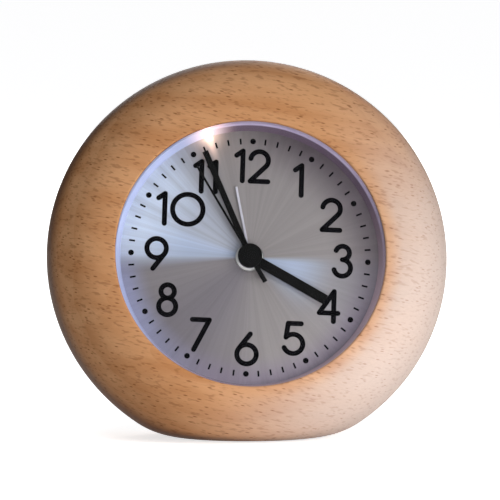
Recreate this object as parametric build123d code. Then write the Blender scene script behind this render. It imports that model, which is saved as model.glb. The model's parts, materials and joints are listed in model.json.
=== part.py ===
from build123d import *
import math
import os

# A wooden desk alarm clock with a battery quartz movement. Every piece is drawn upright, with the
# dial facing -Y, +X to the right and depth running along +Y from the front edge of the wood. The
# finished pieces are then leaned back together, so that the clock stands on its flat base.

# Turned wooden case
CASE_RADIUS = 47.5
CASE_DEPTH = 35.0
CASE_WIDEST_DEPTH = 16.0
CASE_BACK_RADIUS = 42.5
CASE_RISE = 2.0
CASE_FRONT_FLAT = 1.5
CASE_FRONT_FULLNESS = 0.60
CASE_BACK_TURN = 4.0
CASE_BACK_FLARE = 2.9
CASE_BACK_RUN = 9.0
CASE_BACK_ROUND = 2.5
BASE_DROP = 42.2
LEAN = 16.0
OPENING_RADIUS = 31.9
OPENING_ROUND = 0.6
BORE_SHOULDER = 1.4
LIP_DEPTH = 1.2
BORE_FIT = 0.15
BORE_RADIUS = OPENING_RADIUS + BORE_SHOULDER
INSERT_RADIUS = BORE_RADIUS - BORE_FIT

# Lens, dial ring and dial
LENS_THICKNESS = 1.4
LENS_CHAMFER = 0.3
RING_HEIGHT = 3.0
RING_FRONT_RADIUS = 31.6
RING_BACK_RADIUS = 30.5
DIAL_THICKNESS = 0.6
PRINT_THICKNESS = 0.04
DIAL_TURN = 2.7
LENS_FRONT = LIP_DEPTH
LENS_BACK = LENS_FRONT + LENS_THICKNESS
DIAL_FRONT = LENS_BACK + RING_HEIGHT
DIAL_BACK = DIAL_FRONT + DIAL_THICKNESS

# Printed dial: hour dots, minute ticks and upright round-ended numerals
TRACK_RADIUS = 28.0
HOUR_DOT_DIAMETER = 1.35
TICK_LENGTH = 1.4
TICK_WIDTH = 0.42
NUMERAL_RADIUS = 22.0
TEN_RADIUS = 19.9
TEN_SHIFT = 3.4
STROKE = 1.1
GLYPH_HEIGHT = 7.2
GLYPH_GAP = 0.65

# Hands, with the time that they show
SECOND_ANGLE = 328.0
MINUTE_ANGLE = 330.0 + SECOND_ANGLE / 60
HOUR_ANGLE = 90.0 + MINUTE_ANGLE / 12
ALARM_ANGLE = 347.6
HAND_THICKNESS = 0.25
HAND_GAP = 0.25
ALARM_HAND_LIFT = 0.4
HOUR_HAND_LENGTH = 20.6
HOUR_HAND_WIDTH = 2.4
MINUTE_HAND_LENGTH = 27.3
MINUTE_HAND_WIDTH = 1.4
SECOND_HAND_LENGTH = 24.8
SECOND_HAND_WIDTH = 0.5
SECOND_TAIL_LENGTH = 7.2
SECOND_TAIL_WIDTH = 1.1
ALARM_HAND_LENGTH = 17.2
ALARM_HAND_WIDTH = 0.55
HAND_HUB_RADIUS = 2.75
CAP_RADIUS = 2.9
CAP_HEIGHT = 0.5
ALARM_HAND_BACK = DIAL_FRONT - ALARM_HAND_LIFT
HAND_STEP = HAND_THICKNESS + HAND_GAP
HOUR_HAND_BACK = ALARM_HAND_BACK - HAND_STEP
MINUTE_HAND_BACK = HOUR_HAND_BACK - HAND_STEP
SECOND_HAND_BACK = MINUTE_HAND_BACK - HAND_STEP

# Fits between pieces
RUN_FIT = 0.05
PRESS_FIT = 0.02
DROP_FIT = 0.15
FACE_GAP = 0.3

# Coaxial arbors at the centre, each tube running on the one inside it
ARBOR_RADIUS = 0.5
TUBE_WALL = 0.55
MINUTE_TUBE_BORE = ARBOR_RADIUS + RUN_FIT
MINUTE_TUBE_RADIUS = MINUTE_TUBE_BORE + TUBE_WALL
HOUR_TUBE_BORE = MINUTE_TUBE_RADIUS + RUN_FIT
HOUR_TUBE_RADIUS = HOUR_TUBE_BORE + TUBE_WALL
ALARM_TUBE_BORE = HOUR_TUBE_RADIUS + RUN_FIT
ALARM_TUBE_RADIUS = ALARM_TUBE_BORE + TUBE_WALL
BUSH_BORE = ALARM_TUBE_RADIUS + RUN_FIT
BUSH_WALL = 0.85
BUSH_RADIUS = BUSH_BORE + BUSH_WALL

# Gear teeth and layers, counted from the dial to the back
PRESSURE_ANGLE = math.radians(22)
ADDENDUM = 0.8
DEDENDUM = 1.05
TOOTH_PLAY = 0.07
WHEEL_THICKNESS = 0.7
WHEEL_GAP = 0.3
LAYER_STEP = WHEEL_THICKNESS + WHEEL_GAP
PLATE_THICKNESS = 1.4
MID_THICKNESS = 0.8
REAR_THICKNESS = 1.2
REAR_ROOM = 0.5
CASE_WALL = 1.0
PLATE_BACK = DIAL_BACK + PLATE_THICKNESS
MID_FRONT = PLATE_BACK + 4 * LAYER_STEP + WHEEL_GAP
MID_BACK = MID_FRONT + MID_THICKNESS
REAR_FRONT = MID_BACK + 3 * LAYER_STEP + REAR_ROOM
REAR_BACK = REAR_FRONT + REAR_THICKNESS

# Tooth counts and the places of the arbors
CANNON_TEETH = 12
MINUTE_WHEEL_TEETH = 36
SETTING_TEETH = 12
MINUTE_PINION_TEETH = 10
HOUR_WHEEL_TEETH = 40
ALARM_WHEEL_TEETH = 60
ALARM_PINION_TEETH = 36
CENTRE_WHEEL_TEETH = 80
THIRD_PINION_TEETH = 10
THIRD_WHEEL_TEETH = 75
SECOND_PINION_TEETH = 10
SECOND_WHEEL_TEETH = 50
INTERMEDIATE_PINION_TEETH = 10
INTERMEDIATE_WHEEL_TEETH = 60
ROTOR_PINION_TEETH = 10
KNOB_SPREAD = 13.0
KNOB_RISE = 14.0
MOTION_DISTANCE = 14.0
THIRD_DISTANCE = 11.9
THIRD_DIRECTION = 225.0
INTERMEDIATE_DISTANCE = 9.0
INTERMEDIATE_DIRECTION = 315.0
ROTOR_DISTANCE = 9.1
STUD_RADIUS = 0.9
PIVOT_DEPTH = 0.7

# Stepping motor
MAGNET_RADIUS = 2.8
MAGNET_LENGTH = 1.5
STATOR_THICKNESS = 0.6
STATOR_HOLE_GAP = 0.5
STATOR_WIDTH = 9.4
STATOR_LENGTH = 22.0
STATOR_LEG = 2.4
COIL_OFFSET = 8.6
COIL_RADIUS = 2.1
COIL_LENGTH = 13.0
BOBBIN_FLANGE = 0.7
BOBBIN_CORE_RADIUS = 1.1
STATOR_POST_OFFSET = 9.3
STATOR_POST_RADIUS = 1.3

# Screws and posts
SCREW_RADIUS = 0.9
SCREW_HEAD_RADIUS = 1.9
SCREW_HEAD_HEIGHT = 1.1
SCREW_SLOT = 0.5
POST_RADIUS = 2.2
MOVEMENT_POST_CIRCLE = 29.0
MOVEMENT_SCREW_LENGTH = 7.0
BRIDGE_POST_RADIUS = 1.5
BRIDGE_POSTS = ((0.0, 15.6), (-16.0, 2.0), (3.0, -16.2))
BRIDGE_RADIUS = 13.6
BRIDGE_SCREW_LENGTH = 3.5
BRIDGE_HEAD_HEIGHT = 0.7

# Back cover, battery bay and door
FLANGE_RADIUS = 38.0
FLANGE_THICKNESS = 1.6
FLANGE_EDGE_ROUND = 0.6
FLANGE_FLAT_DROP = 34.0
SKIRT_WALL = 1.0
COVER_SCREW_CIRCLE = 35.7
COVER_SCREW_LENGTH = 8.0
CELL_DIAMETER = 14.2
CELL_LENGTH = 49.0
CELL_NUB_RADIUS = 2.7
CELL_NUB_LENGTH = 1.2
CELL_DROP = 9.0
CELL_SIDE_ROOM = 0.4
BAY_HALF_LENGTH = 27.2
BAY_WALL = 1.0
DOOR_LEDGE = 0.8
THUMB_RADIUS = 4.0
THUMB_DEPTH = 0.8
FLANGE_BACK = CASE_DEPTH + FLANGE_THICKNESS
TRAY_FRONT = REAR_BACK + CELL_SIDE_ROOM
CELL_AXIS_DEPTH = TRAY_FRONT + BAY_WALL + CELL_SIDE_ROOM / 2 + CELL_DIAMETER / 2
BAY_HALF_HEIGHT = CELL_DIAMETER / 2 + CELL_SIDE_ROOM

# Battery contacts
CONTACT_THICKNESS = 0.4
CONTACT_WIDTH = 9.0
CONTACT_HEIGHT = 11.0
NUB_CONTACT_AT = BAY_HALF_LENGTH - CONTACT_THICKNESS
CELL_NUB_TIP = NUB_CONTACT_AT
CELL_FRONT_END = CELL_NUB_TIP - CELL_NUB_LENGTH
CELL_FAR_END = CELL_FRONT_END - CELL_LENGTH
SPRING_BASE_AT = -BAY_HALF_LENGTH

# Knobs, button and switch on the back
SHAFT_RADIUS = 1.5
SHAFT_PIVOT_RADIUS = 0.8
KNOB_RADIUS = 5.5
KNOB_HEIGHT = 4.0
KNOB_FLUTES = 18
KNOB_FLUTE_RADIUS = 0.55
KNOB_SOCKET = 3.0
BUTTON_WIDTH = 13.0
BUTTON_HEIGHT = 7.0
BUTTON_ROUND = 2.0
BUTTON_RISE = 23.5
BUTTON_PROUD = 1.4
BUTTON_LIP = 0.9
BUTTON_LIP_THICKNESS = 1.0
BUTTON_TRAVEL = 0.8
BUTTON_STEM_RADIUS = 1.4
SWITCH_RISE = 13.0
SWITCH_TRAVEL = 4.0
SWITCH_STEM_WIDTH = 2.4
SWITCH_STEM_HEIGHT = 2.2
SWITCH_PROUD = 1.4
SWITCH_BODY_WIDTH = 11.0
SWITCH_BODY_HEIGHT = 5.2
SWITCH_BODY_DEPTH = 3.6
SWITCH_SHOE_WIDTH = 4.0
SWITCH_SHOE_HEIGHT = 2.8
SWITCH_SHOE_DEPTH = 1.4

# Circuit board and what stands on it
BOARD_THICKNESS = 1.2
BOARD_BACK = 29.7
BOARD_HALF_WIDTH = 16.0
BOARD_LOW_EDGE = 18.0
BOARD_EDGE_RADIUS = 31.8
BOARD_TONGUE_HALF_WIDTH = 7.0
BOARD_TONGUE_LOW_EDGE = 9.0
BOARD_POST_X = 13.0
BOARD_POST_Z = 24.0
BOARD_POST_RADIUS = 1.8
BOARD_SCREW_LENGTH = 4.0
TACT_SIDE = 6.0
TACT_HEIGHT = 3.2
CRYSTAL_RADIUS = 1.0
CRYSTAL_LENGTH = 6.0
CHIP_RADIUS = 3.2
CHIP_HEIGHT = 1.2
BUZZER_RADIUS = 6.0
BUZZER_DEPTH = 7.0
BUZZER_DROP = 25.0
BUZZER_COLLAR = 0.9
BUZZER_COLLAR_DEPTH = 3.0
GRILLE_HOLE_RADIUS = 0.7
GRILLE_CIRCLE = 3.2
GRILLE_HOLES = 6

# Night light and hook-up wires
LED_ANGLE = 107.5
LED_WIDTH = 2.8
LED_DEPTH = 2.2
LED_LENGTH = 1.7
LED_DOME_RADIUS = 0.95
LED_LEAD_CIRCLE = 31.3
LED_LEAD_SPACING = 1.3
LEAD_RADIUS = 0.25
LEAD_HOLE_RADIUS = 0.4
WIRE_RADIUS = 0.5
WIRE_BEND = 3.0


def polar(distance, degrees):
    return (distance * math.cos(math.radians(degrees)), distance * math.sin(math.radians(degrees)))


def add(first, second):
    return (first[0] + second[0], first[1] + second[1])


def clock_polar(distance, clock_degrees):
    return polar(distance, 90 - clock_degrees - DIAL_TURN)


def slab(sketch, front, back):
    return extrude(Plane.XZ.offset(-back) * sketch, back - front)


def disc(radius, front, back, at=(0, 0)):
    return slab(Pos(*at) * Circle(radius), front, back)


def tube(radius, bore, front, back, at=(0, 0)):
    return slab(Pos(*at) * (Circle(radius) - Circle(bore)), front, back)


def block(x_low, x_high, front, back, z_low, z_high):
    size = (x_high - x_low, back - front, z_high - z_low)
    middle = ((x_low + x_high) / 2, (front + back) / 2, (z_low + z_high) / 2)
    return Pos(*middle) * Box(*size)


def front_layer(number):
    front = PLATE_BACK + WHEEL_GAP + (number - 1) * LAYER_STEP
    return front, front + WHEEL_THICKNESS


def rear_layer(number):
    front = MID_BACK + WHEEL_GAP + (number - 1) * LAYER_STEP
    return front, front + WHEEL_THICKNESS


# Places of the arbors, seen from the front
CENTRE = (0.0, 0.0)
SETTING_AT = (KNOB_SPREAD, KNOB_RISE)
ALARM_AT = (-KNOB_SPREAD, KNOB_RISE)
THIRD_AT = polar(THIRD_DISTANCE, THIRD_DIRECTION)
INTERMEDIATE_AT = polar(INTERMEDIATE_DISTANCE, INTERMEDIATE_DIRECTION)
ROTOR_AT = add(INTERMEDIATE_AT, polar(ROTOR_DISTANCE, INTERMEDIATE_DIRECTION))
KNOB_REACH = math.hypot(KNOB_SPREAD, KNOB_RISE)
MOTION_MODULE = 2 * MOTION_DISTANCE / (CANNON_TEETH + MINUTE_WHEEL_TEETH)
SETTING_REACH = MOTION_MODULE * (SETTING_TEETH + MINUTE_WHEEL_TEETH) / 2
HOUR_MODULE = 2 * MOTION_DISTANCE / (MINUTE_PINION_TEETH + HOUR_WHEEL_TEETH)
ALARM_MODULE = 2 * KNOB_REACH / (ALARM_WHEEL_TEETH + ALARM_PINION_TEETH)
SECOND_MODULE = 2 * THIRD_DISTANCE / (SECOND_PINION_TEETH + THIRD_WHEEL_TEETH)
THIRD_MODULE = 2 * THIRD_DISTANCE / (THIRD_PINION_TEETH + CENTRE_WHEEL_TEETH)
INTERMEDIATE_MODULE = 2 * INTERMEDIATE_DISTANCE / (INTERMEDIATE_PINION_TEETH + SECOND_WHEEL_TEETH)
ROTOR_MODULE = 2 * ROTOR_DISTANCE / (ROTOR_PINION_TEETH + INTERMEDIATE_WHEEL_TEETH)


def motion_place():
    # The minute wheel stands where it meets both the cannon pinion and the setting pinion.
    cosine = (MOTION_DISTANCE**2 + KNOB_REACH**2 - SETTING_REACH**2) / (2 * MOTION_DISTANCE * KNOB_REACH)
    knob_direction = math.degrees(math.atan2(KNOB_RISE, KNOB_SPREAD))
    return polar(MOTION_DISTANCE, knob_direction - math.degrees(math.acos(cosine)))


MOTION_AT = motion_place()


def involute(angle):
    return math.tan(angle) - angle


def gear(teeth, module, phase=0.0):
    # A flat spur gear drawn about the origin, with one tooth centred on the angle phase.
    pitch = module * teeth / 2
    root = pitch - DEDENDUM * module
    tip = pitch + ADDENDUM * module
    base = pitch * math.cos(PRESSURE_ANGLE)
    half_at_pitch = math.pi / (2 * teeth) - TOOTH_PLAY / (2 * pitch)

    def half_angle(radius):
        rise = involute(math.acos(base / radius)) if radius > base else 0.0
        return half_at_pitch + involute(PRESSURE_ANGLE) - rise

    flank = [root, (root + pitch) / 2, pitch, (pitch + tip) / 2, tip]
    points = []
    for tooth in range(teeth):
        middle = phase + 2 * math.pi * tooth / teeth
        for radius in flank:
            angle = middle - half_angle(radius)
            points.append((radius * math.cos(angle), radius * math.sin(angle)))
        for radius in reversed(flank):
            angle = middle + half_angle(radius)
            points.append((radius * math.cos(angle), radius * math.sin(angle)))
    return make_face(Polyline(*points, close=True))


def meshed_phase(driver_teeth, driver_at, wheel_teeth, wheel_at, driver_phase=0.0):
    # The phase at which a tooth of the driver stands in a gap of the wheel on their line of centres.
    line = math.atan2(wheel_at[1] - driver_at[1], wheel_at[0] - driver_at[0])
    share = (line - driver_phase) * driver_teeth / (2 * math.pi)
    return line + math.pi - (0.5 - share) * 2 * math.pi / wheel_teeth


def gear_slab(teeth, module, layer, at, phase=0.0, bore=0.0):
    outline = gear(teeth, module, phase)
    if bore:
        outline = outline - Circle(bore)
    return slab(Pos(*at) * outline, *layer)


# Case, lens and dial

def wood_case():
    land = OPENING_RADIUS + CASE_FRONT_FLAT
    reach = CASE_RADIUS - land
    widest = (CASE_RADIUS, CASE_WIDEST_DEPTH)
    rim = (CASE_BACK_RADIUS, CASE_DEPTH)
    front_edge = Line((0, 0), (land, 0))
    front_curve = Bezier(
        (land, 0),
        (land + CASE_FRONT_FULLNESS * reach, 0),
        (CASE_RADIUS, CASE_WIDEST_DEPTH * (1 - CASE_FRONT_FULLNESS)),
        widest,
    )
    back_curve = Bezier(
        widest,
        (CASE_RADIUS, CASE_WIDEST_DEPTH + CASE_BACK_TURN),
        (CASE_BACK_RADIUS + CASE_BACK_FLARE, CASE_DEPTH - CASE_BACK_RUN),
        rim,
    )
    back_edge = Line(rim, (0, CASE_DEPTH))
    axis_edge = Line((0, CASE_DEPTH), (0, 0))
    profile = make_face([front_edge, front_curve, back_curve, back_edge, axis_edge])
    body = Pos(0, 0, CASE_RISE) * revolve(profile, Axis.Y)
    body = fillet(body.edges().sort_by(Axis.Y)[-1], CASE_BACK_ROUND)
    body -= disc(OPENING_RADIUS, -1, CASE_DEPTH)
    circles = body.edges().filter_by(GeomType.CIRCLE)
    front_rim = circles.filter_by(lambda edge: math.isclose(edge.radius, OPENING_RADIUS)).sort_by(Axis.Y)[0]
    body = fillet(front_rim, OPENING_ROUND)
    body -= disc(BORE_RADIUS, LIP_DEPTH, CASE_DEPTH)
    for at in cover_screw_places():
        body -= disc(SCREW_RADIUS + RUN_FIT, CASE_DEPTH - COVER_SCREW_LENGTH - 1, CASE_DEPTH, at)
    below = Pos(0, 0, -CASE_RADIUS) * Box(4 * CASE_RADIUS, 4 * CASE_RADIUS, 2 * CASE_RADIUS)
    return STAND * body - below


def lens():
    plate = disc(INSERT_RADIUS, LENS_FRONT, LENS_BACK)
    front_edge = plate.edges().filter_by(GeomType.CIRCLE).sort_by(Axis.Y)[0]
    return chamfer(front_edge, LENS_CHAMFER)


def led_frame(radial, depth):
    # A place beside the night light: radial distance from the dial axis at the light's angle.
    x, z = polar(radial, LED_ANGLE)
    return Pos(x, depth, z) * Rot(0, -LED_ANGLE, 0)


def led_notch(inner, outer, front, back):
    middle = led_frame((inner + outer) / 2, (front + back) / 2)
    return middle * Box(outer - inner, back - front, LED_WIDTH + 2 * DROP_FIT)


def dial_ring():
    with_slope = make_face(
        Polyline(
            (RING_FRONT_RADIUS, LENS_BACK),
            (INSERT_RADIUS, LENS_BACK),
            (INSERT_RADIUS, DIAL_FRONT),
            (RING_BACK_RADIUS, DIAL_FRONT),
            close=True,
        )
    )
    ring = revolve(with_slope, Axis.Y)
    notch_front = DIAL_FRONT - LED_DEPTH - DROP_FIT
    notch_inner = RING_BACK_RADIUS - 1
    notch_outer = RING_FRONT_RADIUS + LED_LENGTH
    return ring - led_notch(notch_inner, notch_outer, notch_front, DIAL_FRONT)


def lead_places():
    across = polar(LED_LEAD_SPACING / 2, LED_ANGLE + 90)
    middle = polar(LED_LEAD_CIRCLE, LED_ANGLE)
    return [add(middle, across), add(middle, (-across[0], -across[1]))]


def lead_holes(front, back):
    return [disc(LEAD_HOLE_RADIUS, front, back, at) for at in lead_places()]


def dial():
    plate = disc(INSERT_RADIUS, DIAL_FRONT, DIAL_BACK)
    plate -= disc(BUSH_RADIUS + DROP_FIT, DIAL_FRONT, DIAL_BACK)
    return plate - lead_holes(DIAL_FRONT, DIAL_BACK)


def printed(sketch):
    return slab(sketch, DIAL_FRONT - PRINT_THICKNESS, DIAL_FRONT)


def minute_track():
    marks = []
    for minute in range(60):
        place = Pos(*clock_polar(TRACK_RADIUS, minute * 6))
        if minute % 5 == 0:
            marks.append(printed(place * Circle(HOUR_DOT_DIAMETER / 2)))
        else:
            turn = Rot(0, 0, -minute * 6 - DIAL_TURN)
            marks.append(printed(place * turn * Rectangle(TICK_WIDTH, TICK_LENGTH)))
    return Compound(marks)


def line_stroke(start, end):
    return SlotArc(Line(start, end), STROKE)


def arc_stroke(centre, radius, start, sweep_angle):
    return SlotArc(CenterArc(centre, radius, start, sweep_angle), STROKE)


def ring_stroke(centre, radius):
    return Pos(*centre) * (Circle(radius + STROKE / 2) - Circle(radius - STROKE / 2))


def glyph_zero():
    radius = GLYPH_HEIGHT / 2
    return ring_stroke((radius, radius), radius)


def glyph_one():
    stem = line_stroke((1.5, 0), (1.5, GLYPH_HEIGHT))
    return stem + line_stroke((0, GLYPH_HEIGHT - 1.1), (1.5, GLYPH_HEIGHT))


def glyph_two():
    radius = 2.1
    centre = (radius, GLYPH_HEIGHT - radius)
    end = -38
    shoulder = add(centre, polar(radius, end))
    return (
        arc_stroke(centre, radius, end, 208)
        + line_stroke(shoulder, (0, 0))
        + line_stroke((0, 0), (2 * radius, 0))
    )


def glyph_three():
    upper = 0.225 * GLYPH_HEIGHT
    lower = GLYPH_HEIGHT / 2 - upper
    upper_bowl = arc_stroke((lower, 2 * lower + upper), upper, -90, 250)
    return upper_bowl + arc_stroke((lower, lower), lower, -165, 255)


def glyph_four():
    bar = 2.0
    foot = (3.4, 0)
    top = (3.4, GLYPH_HEIGHT)
    return line_stroke(foot, top) + line_stroke(top, (0, bar)) + line_stroke((0, bar), (4.4, bar))


def glyph_five():
    radius = 2.3
    centre = (radius, radius)
    start = add(centre, polar(radius, 138))
    corner = (start[0] + 0.45, GLYPH_HEIGHT)
    return (
        arc_stroke(centre, radius, -155, 293)
        + line_stroke(start, corner)
        + line_stroke(corner, (4.1, GLYPH_HEIGHT))
    )


def glyph_six():
    radius = 2.3
    tangent = add((radius, radius), polar(radius, 143))
    return ring_stroke((radius, radius), radius) + line_stroke(tangent, (3.05, GLYPH_HEIGHT))


def glyph_seven():
    corner = (4.0, GLYPH_HEIGHT)
    return line_stroke((0, GLYPH_HEIGHT), corner) + line_stroke(corner, (0.5, 0))


def glyph_eight():
    upper = 0.22 * GLYPH_HEIGHT
    lower = GLYPH_HEIGHT / 2 - upper
    return ring_stroke((lower, lower), lower) + ring_stroke((lower, 2 * lower + upper), upper)


def glyph_nine():
    return Rot(0, 0, 180) * glyph_six()


GLYPHS = {
    "0": glyph_zero,
    "1": glyph_one,
    "2": glyph_two,
    "3": glyph_three,
    "4": glyph_four,
    "5": glyph_five,
    "6": glyph_six,
    "7": glyph_seven,
    "8": glyph_eight,
    "9": glyph_nine,
}


def numeral(hour):
    # The digits set side by side, centred on their place on the hour circle and standing upright.
    digits = []
    edge = 0.0
    for digit in str(hour):
        shape = GLYPHS[digit]()
        box = shape.bounding_box()
        digits.append(Pos(edge - box.min.X, -box.min.Y) * shape)
        edge += box.size.X + GLYPH_GAP
    width = edge - GLYPH_GAP
    height = GLYPH_HEIGHT + STROKE
    radius, shift = (TEN_RADIUS, TEN_SHIFT) if hour == 10 else (NUMERAL_RADIUS, 0)
    place = Pos(*clock_polar(radius, hour * 30 + shift)) * Rot(0, 0, -DIAL_TURN) * Pos(-width / 2, -height / 2)
    return [printed(place * shape) for shape in digits]


def numerals():
    return Compound([solid for hour in range(1, 13) for solid in numeral(hour)])


# Hands

def hand_turn(clock_degrees):
    return Rot(0, 0, -clock_degrees - DIAL_TURN)


def hand_outline(length, width, tail=0.0):
    middle = (length - tail) / 2
    return Pos(0, middle) * Rectangle(width, length + tail)


def alarm_hand():
    shape = Circle(HAND_HUB_RADIUS) + hand_outline(ALARM_HAND_LENGTH, ALARM_HAND_WIDTH)
    shape = hand_turn(ALARM_ANGLE) * shape - Circle(ALARM_TUBE_RADIUS + PRESS_FIT)
    return slab(shape, ALARM_HAND_BACK - HAND_THICKNESS, ALARM_HAND_BACK)


def hour_hand():
    shape = Circle(HAND_HUB_RADIUS) + hand_outline(HOUR_HAND_LENGTH, HOUR_HAND_WIDTH)
    shape = hand_turn(HOUR_ANGLE) * shape - Circle(HOUR_TUBE_RADIUS + PRESS_FIT)
    return slab(shape, HOUR_HAND_BACK - HAND_THICKNESS, HOUR_HAND_BACK)


def minute_hand():
    shape = Circle(HAND_HUB_RADIUS) + hand_outline(MINUTE_HAND_LENGTH, MINUTE_HAND_WIDTH)
    shape = hand_turn(MINUTE_ANGLE) * shape - Circle(MINUTE_TUBE_RADIUS + PRESS_FIT)
    return slab(shape, MINUTE_HAND_BACK - HAND_THICKNESS, MINUTE_HAND_BACK)


def second_hand():
    tail = Pos(0, -SECOND_TAIL_LENGTH / 2) * Rectangle(SECOND_TAIL_WIDTH, SECOND_TAIL_LENGTH)
    shape = Circle(HAND_HUB_RADIUS) + hand_outline(SECOND_HAND_LENGTH, SECOND_HAND_WIDTH) + tail
    shape = hand_turn(SECOND_ANGLE) * shape - Circle(ARBOR_RADIUS + PRESS_FIT)
    return slab(shape, SECOND_HAND_BACK - HAND_THICKNESS, SECOND_HAND_BACK)


def hand_cap():
    back = SECOND_HAND_BACK - HAND_THICKNESS
    cap = disc(CAP_RADIUS, back - CAP_HEIGHT, back)
    front_edge = cap.edges().filter_by(GeomType.CIRCLE).sort_by(Axis.Y)[0]
    return fillet(front_edge, CAP_HEIGHT * 0.5)


# Movement plates

def movement_screw_places():
    return [polar(MOVEMENT_POST_CIRCLE, degrees) for degrees in (30, 150, 270)]


def stator_axes():
    # Unit steps at the rotor, outwards from the centre and across.
    distance = math.hypot(*ROTOR_AT)
    out = (ROTOR_AT[0] / distance, ROTOR_AT[1] / distance)
    return out, (-out[1], out[0])


def stator_place(outwards, across):
    out, side = stator_axes()
    x = ROTOR_AT[0] + outwards * out[0] + across * side[0]
    z = ROTOR_AT[1] + outwards * out[1] + across * side[1]
    return (x, z)


def stator_posts():
    return [stator_place(0, STATOR_POST_OFFSET), stator_place(0, -STATOR_POST_OFFSET)]


MAGNET_FRONT = rear_layer(3)[0] - WHEEL_GAP - MAGNET_LENGTH
STATOR_FRONT = MAGNET_FRONT + (MAGNET_LENGTH - STATOR_THICKNESS) / 2
STATOR_BACK = STATOR_FRONT + STATOR_THICKNESS


def movement_front():
    plate = disc(INSERT_RADIUS, DIAL_BACK, PLATE_BACK)
    plate += tube(INSERT_RADIUS, INSERT_RADIUS - CASE_WALL, PLATE_BACK, REAR_FRONT)
    bush_front = DIAL_FRONT - PRINT_THICKNESS
    plate += disc(BUSH_RADIUS, bush_front, PLATE_BACK)
    plate -= disc(BUSH_BORE, bush_front, PLATE_BACK)
    plate += disc(STUD_RADIUS, PLATE_BACK, front_layer(3)[1], MOTION_AT)
    for at in BRIDGE_POSTS:
        plate += disc(BRIDGE_POST_RADIUS, PLATE_BACK, MID_FRONT, at)
        plate -= disc(SCREW_RADIUS + RUN_FIT, MID_FRONT - BRIDGE_SCREW_LENGTH, MID_FRONT, at)
    for at in movement_screw_places():
        plate += disc(POST_RADIUS, PLATE_BACK, REAR_FRONT, at)
        plate -= disc(SCREW_RADIUS + RUN_FIT, REAR_FRONT - MOVEMENT_SCREW_LENGTH, REAR_FRONT, at)
    plate += disc(STATOR_POST_RADIUS, PLATE_BACK, MAGNET_FRONT - FACE_GAP, ROTOR_AT)
    plate -= disc(ARBOR_RADIUS + RUN_FIT, MAGNET_FRONT - FACE_GAP - PIVOT_DEPTH, MAGNET_FRONT, ROTOR_AT)
    for at in (SETTING_AT, ALARM_AT):
        plate -= disc(SHAFT_PIVOT_RADIUS + RUN_FIT, PLATE_BACK - PIVOT_DEPTH, PLATE_BACK, at)
    return plate - lead_holes(DIAL_BACK, PLATE_BACK)


def bridge():
    shape = Circle(BRIDGE_RADIUS)
    for at in BRIDGE_POSTS:
        reach = math.hypot(*at)
        arm = Rot(0, 0, math.degrees(math.atan2(at[1], at[0]))) * Pos(reach / 2, 0)
        shape += arm * Rectangle(reach, 2 * POST_RADIUS)
        shape += Pos(*at) * Circle(POST_RADIUS)
    for at in BRIDGE_POSTS:
        shape -= Pos(*at) * Circle(SCREW_RADIUS + RUN_FIT)
    for at in (CENTRE, THIRD_AT, INTERMEDIATE_AT):
        shape -= Pos(*at) * Circle(ARBOR_RADIUS + RUN_FIT)
    return slab(shape, MID_FRONT, MID_BACK)


def movement_rear():
    plate = disc(INSERT_RADIUS, REAR_FRONT, REAR_BACK)
    for at in stator_posts():
        plate += disc(STATOR_POST_RADIUS, STATOR_BACK, REAR_FRONT, at)
    for at in (CENTRE, THIRD_AT, INTERMEDIATE_AT, ROTOR_AT):
        plate -= disc(ARBOR_RADIUS + RUN_FIT, REAR_FRONT, REAR_FRONT + PIVOT_DEPTH, at)
    for at in (SETTING_AT, ALARM_AT):
        plate -= disc(SHAFT_RADIUS + RUN_FIT, REAR_FRONT, REAR_BACK, at)
    for at in movement_screw_places():
        plate -= disc(SCREW_RADIUS + RUN_FIT, REAR_FRONT, REAR_BACK, at)
    return plate - lead_holes(REAR_FRONT, REAR_BACK)


def screw(at, seat, length):
    # A pan-head screw driven towards the dial, its head standing behind the face at depth seat.
    head = disc(SCREW_HEAD_RADIUS, seat, seat + SCREW_HEAD_HEIGHT, at)
    rim = head.edges().filter_by(GeomType.CIRCLE).sort_by(Axis.Y)[-1]
    head = fillet(rim, SCREW_HEAD_HEIGHT * 0.4)
    slot_front = seat + SCREW_HEAD_HEIGHT * 0.45
    slot = Rectangle(1.2 * SCREW_HEAD_RADIUS, SCREW_SLOT) + Rectangle(SCREW_SLOT, 1.2 * SCREW_HEAD_RADIUS)
    head -= slab(Pos(*at) * slot, slot_front, seat + SCREW_HEAD_HEIGHT)
    return head + disc(SCREW_RADIUS, seat - length, seat, at)


def movement_screws():
    return Compound([screw(at, REAR_BACK, MOVEMENT_SCREW_LENGTH) for at in movement_screw_places()])


def bridge_screws():
    return Compound([bridge_screw(at) for at in BRIDGE_POSTS])


def bridge_screw(at):
    head_back = MID_BACK + BRIDGE_HEAD_HEIGHT
    head = disc(BRIDGE_POST_RADIUS, MID_BACK, head_back, at)
    slot = Pos(*at) * Rectangle(2.2 * BRIDGE_POST_RADIUS, SCREW_SLOT)
    head -= slab(slot, MID_BACK + BRIDGE_HEAD_HEIGHT / 2, head_back)
    return head + disc(SCREW_RADIUS, MID_BACK - BRIDGE_SCREW_LENGTH, MID_BACK, at)


# Wheels, each with its pinion or tube in one piece

def alarm_wheel():
    layer = front_layer(1)
    phase = meshed_phase(ALARM_PINION_TEETH, ALARM_AT, ALARM_WHEEL_TEETH, CENTRE)
    wheel = gear_slab(ALARM_WHEEL_TEETH, ALARM_MODULE, layer, CENTRE, phase, ALARM_TUBE_BORE)
    tube_front = ALARM_HAND_BACK - HAND_THICKNESS
    return wheel + tube(ALARM_TUBE_RADIUS, ALARM_TUBE_BORE, tube_front, layer[1])


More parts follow.
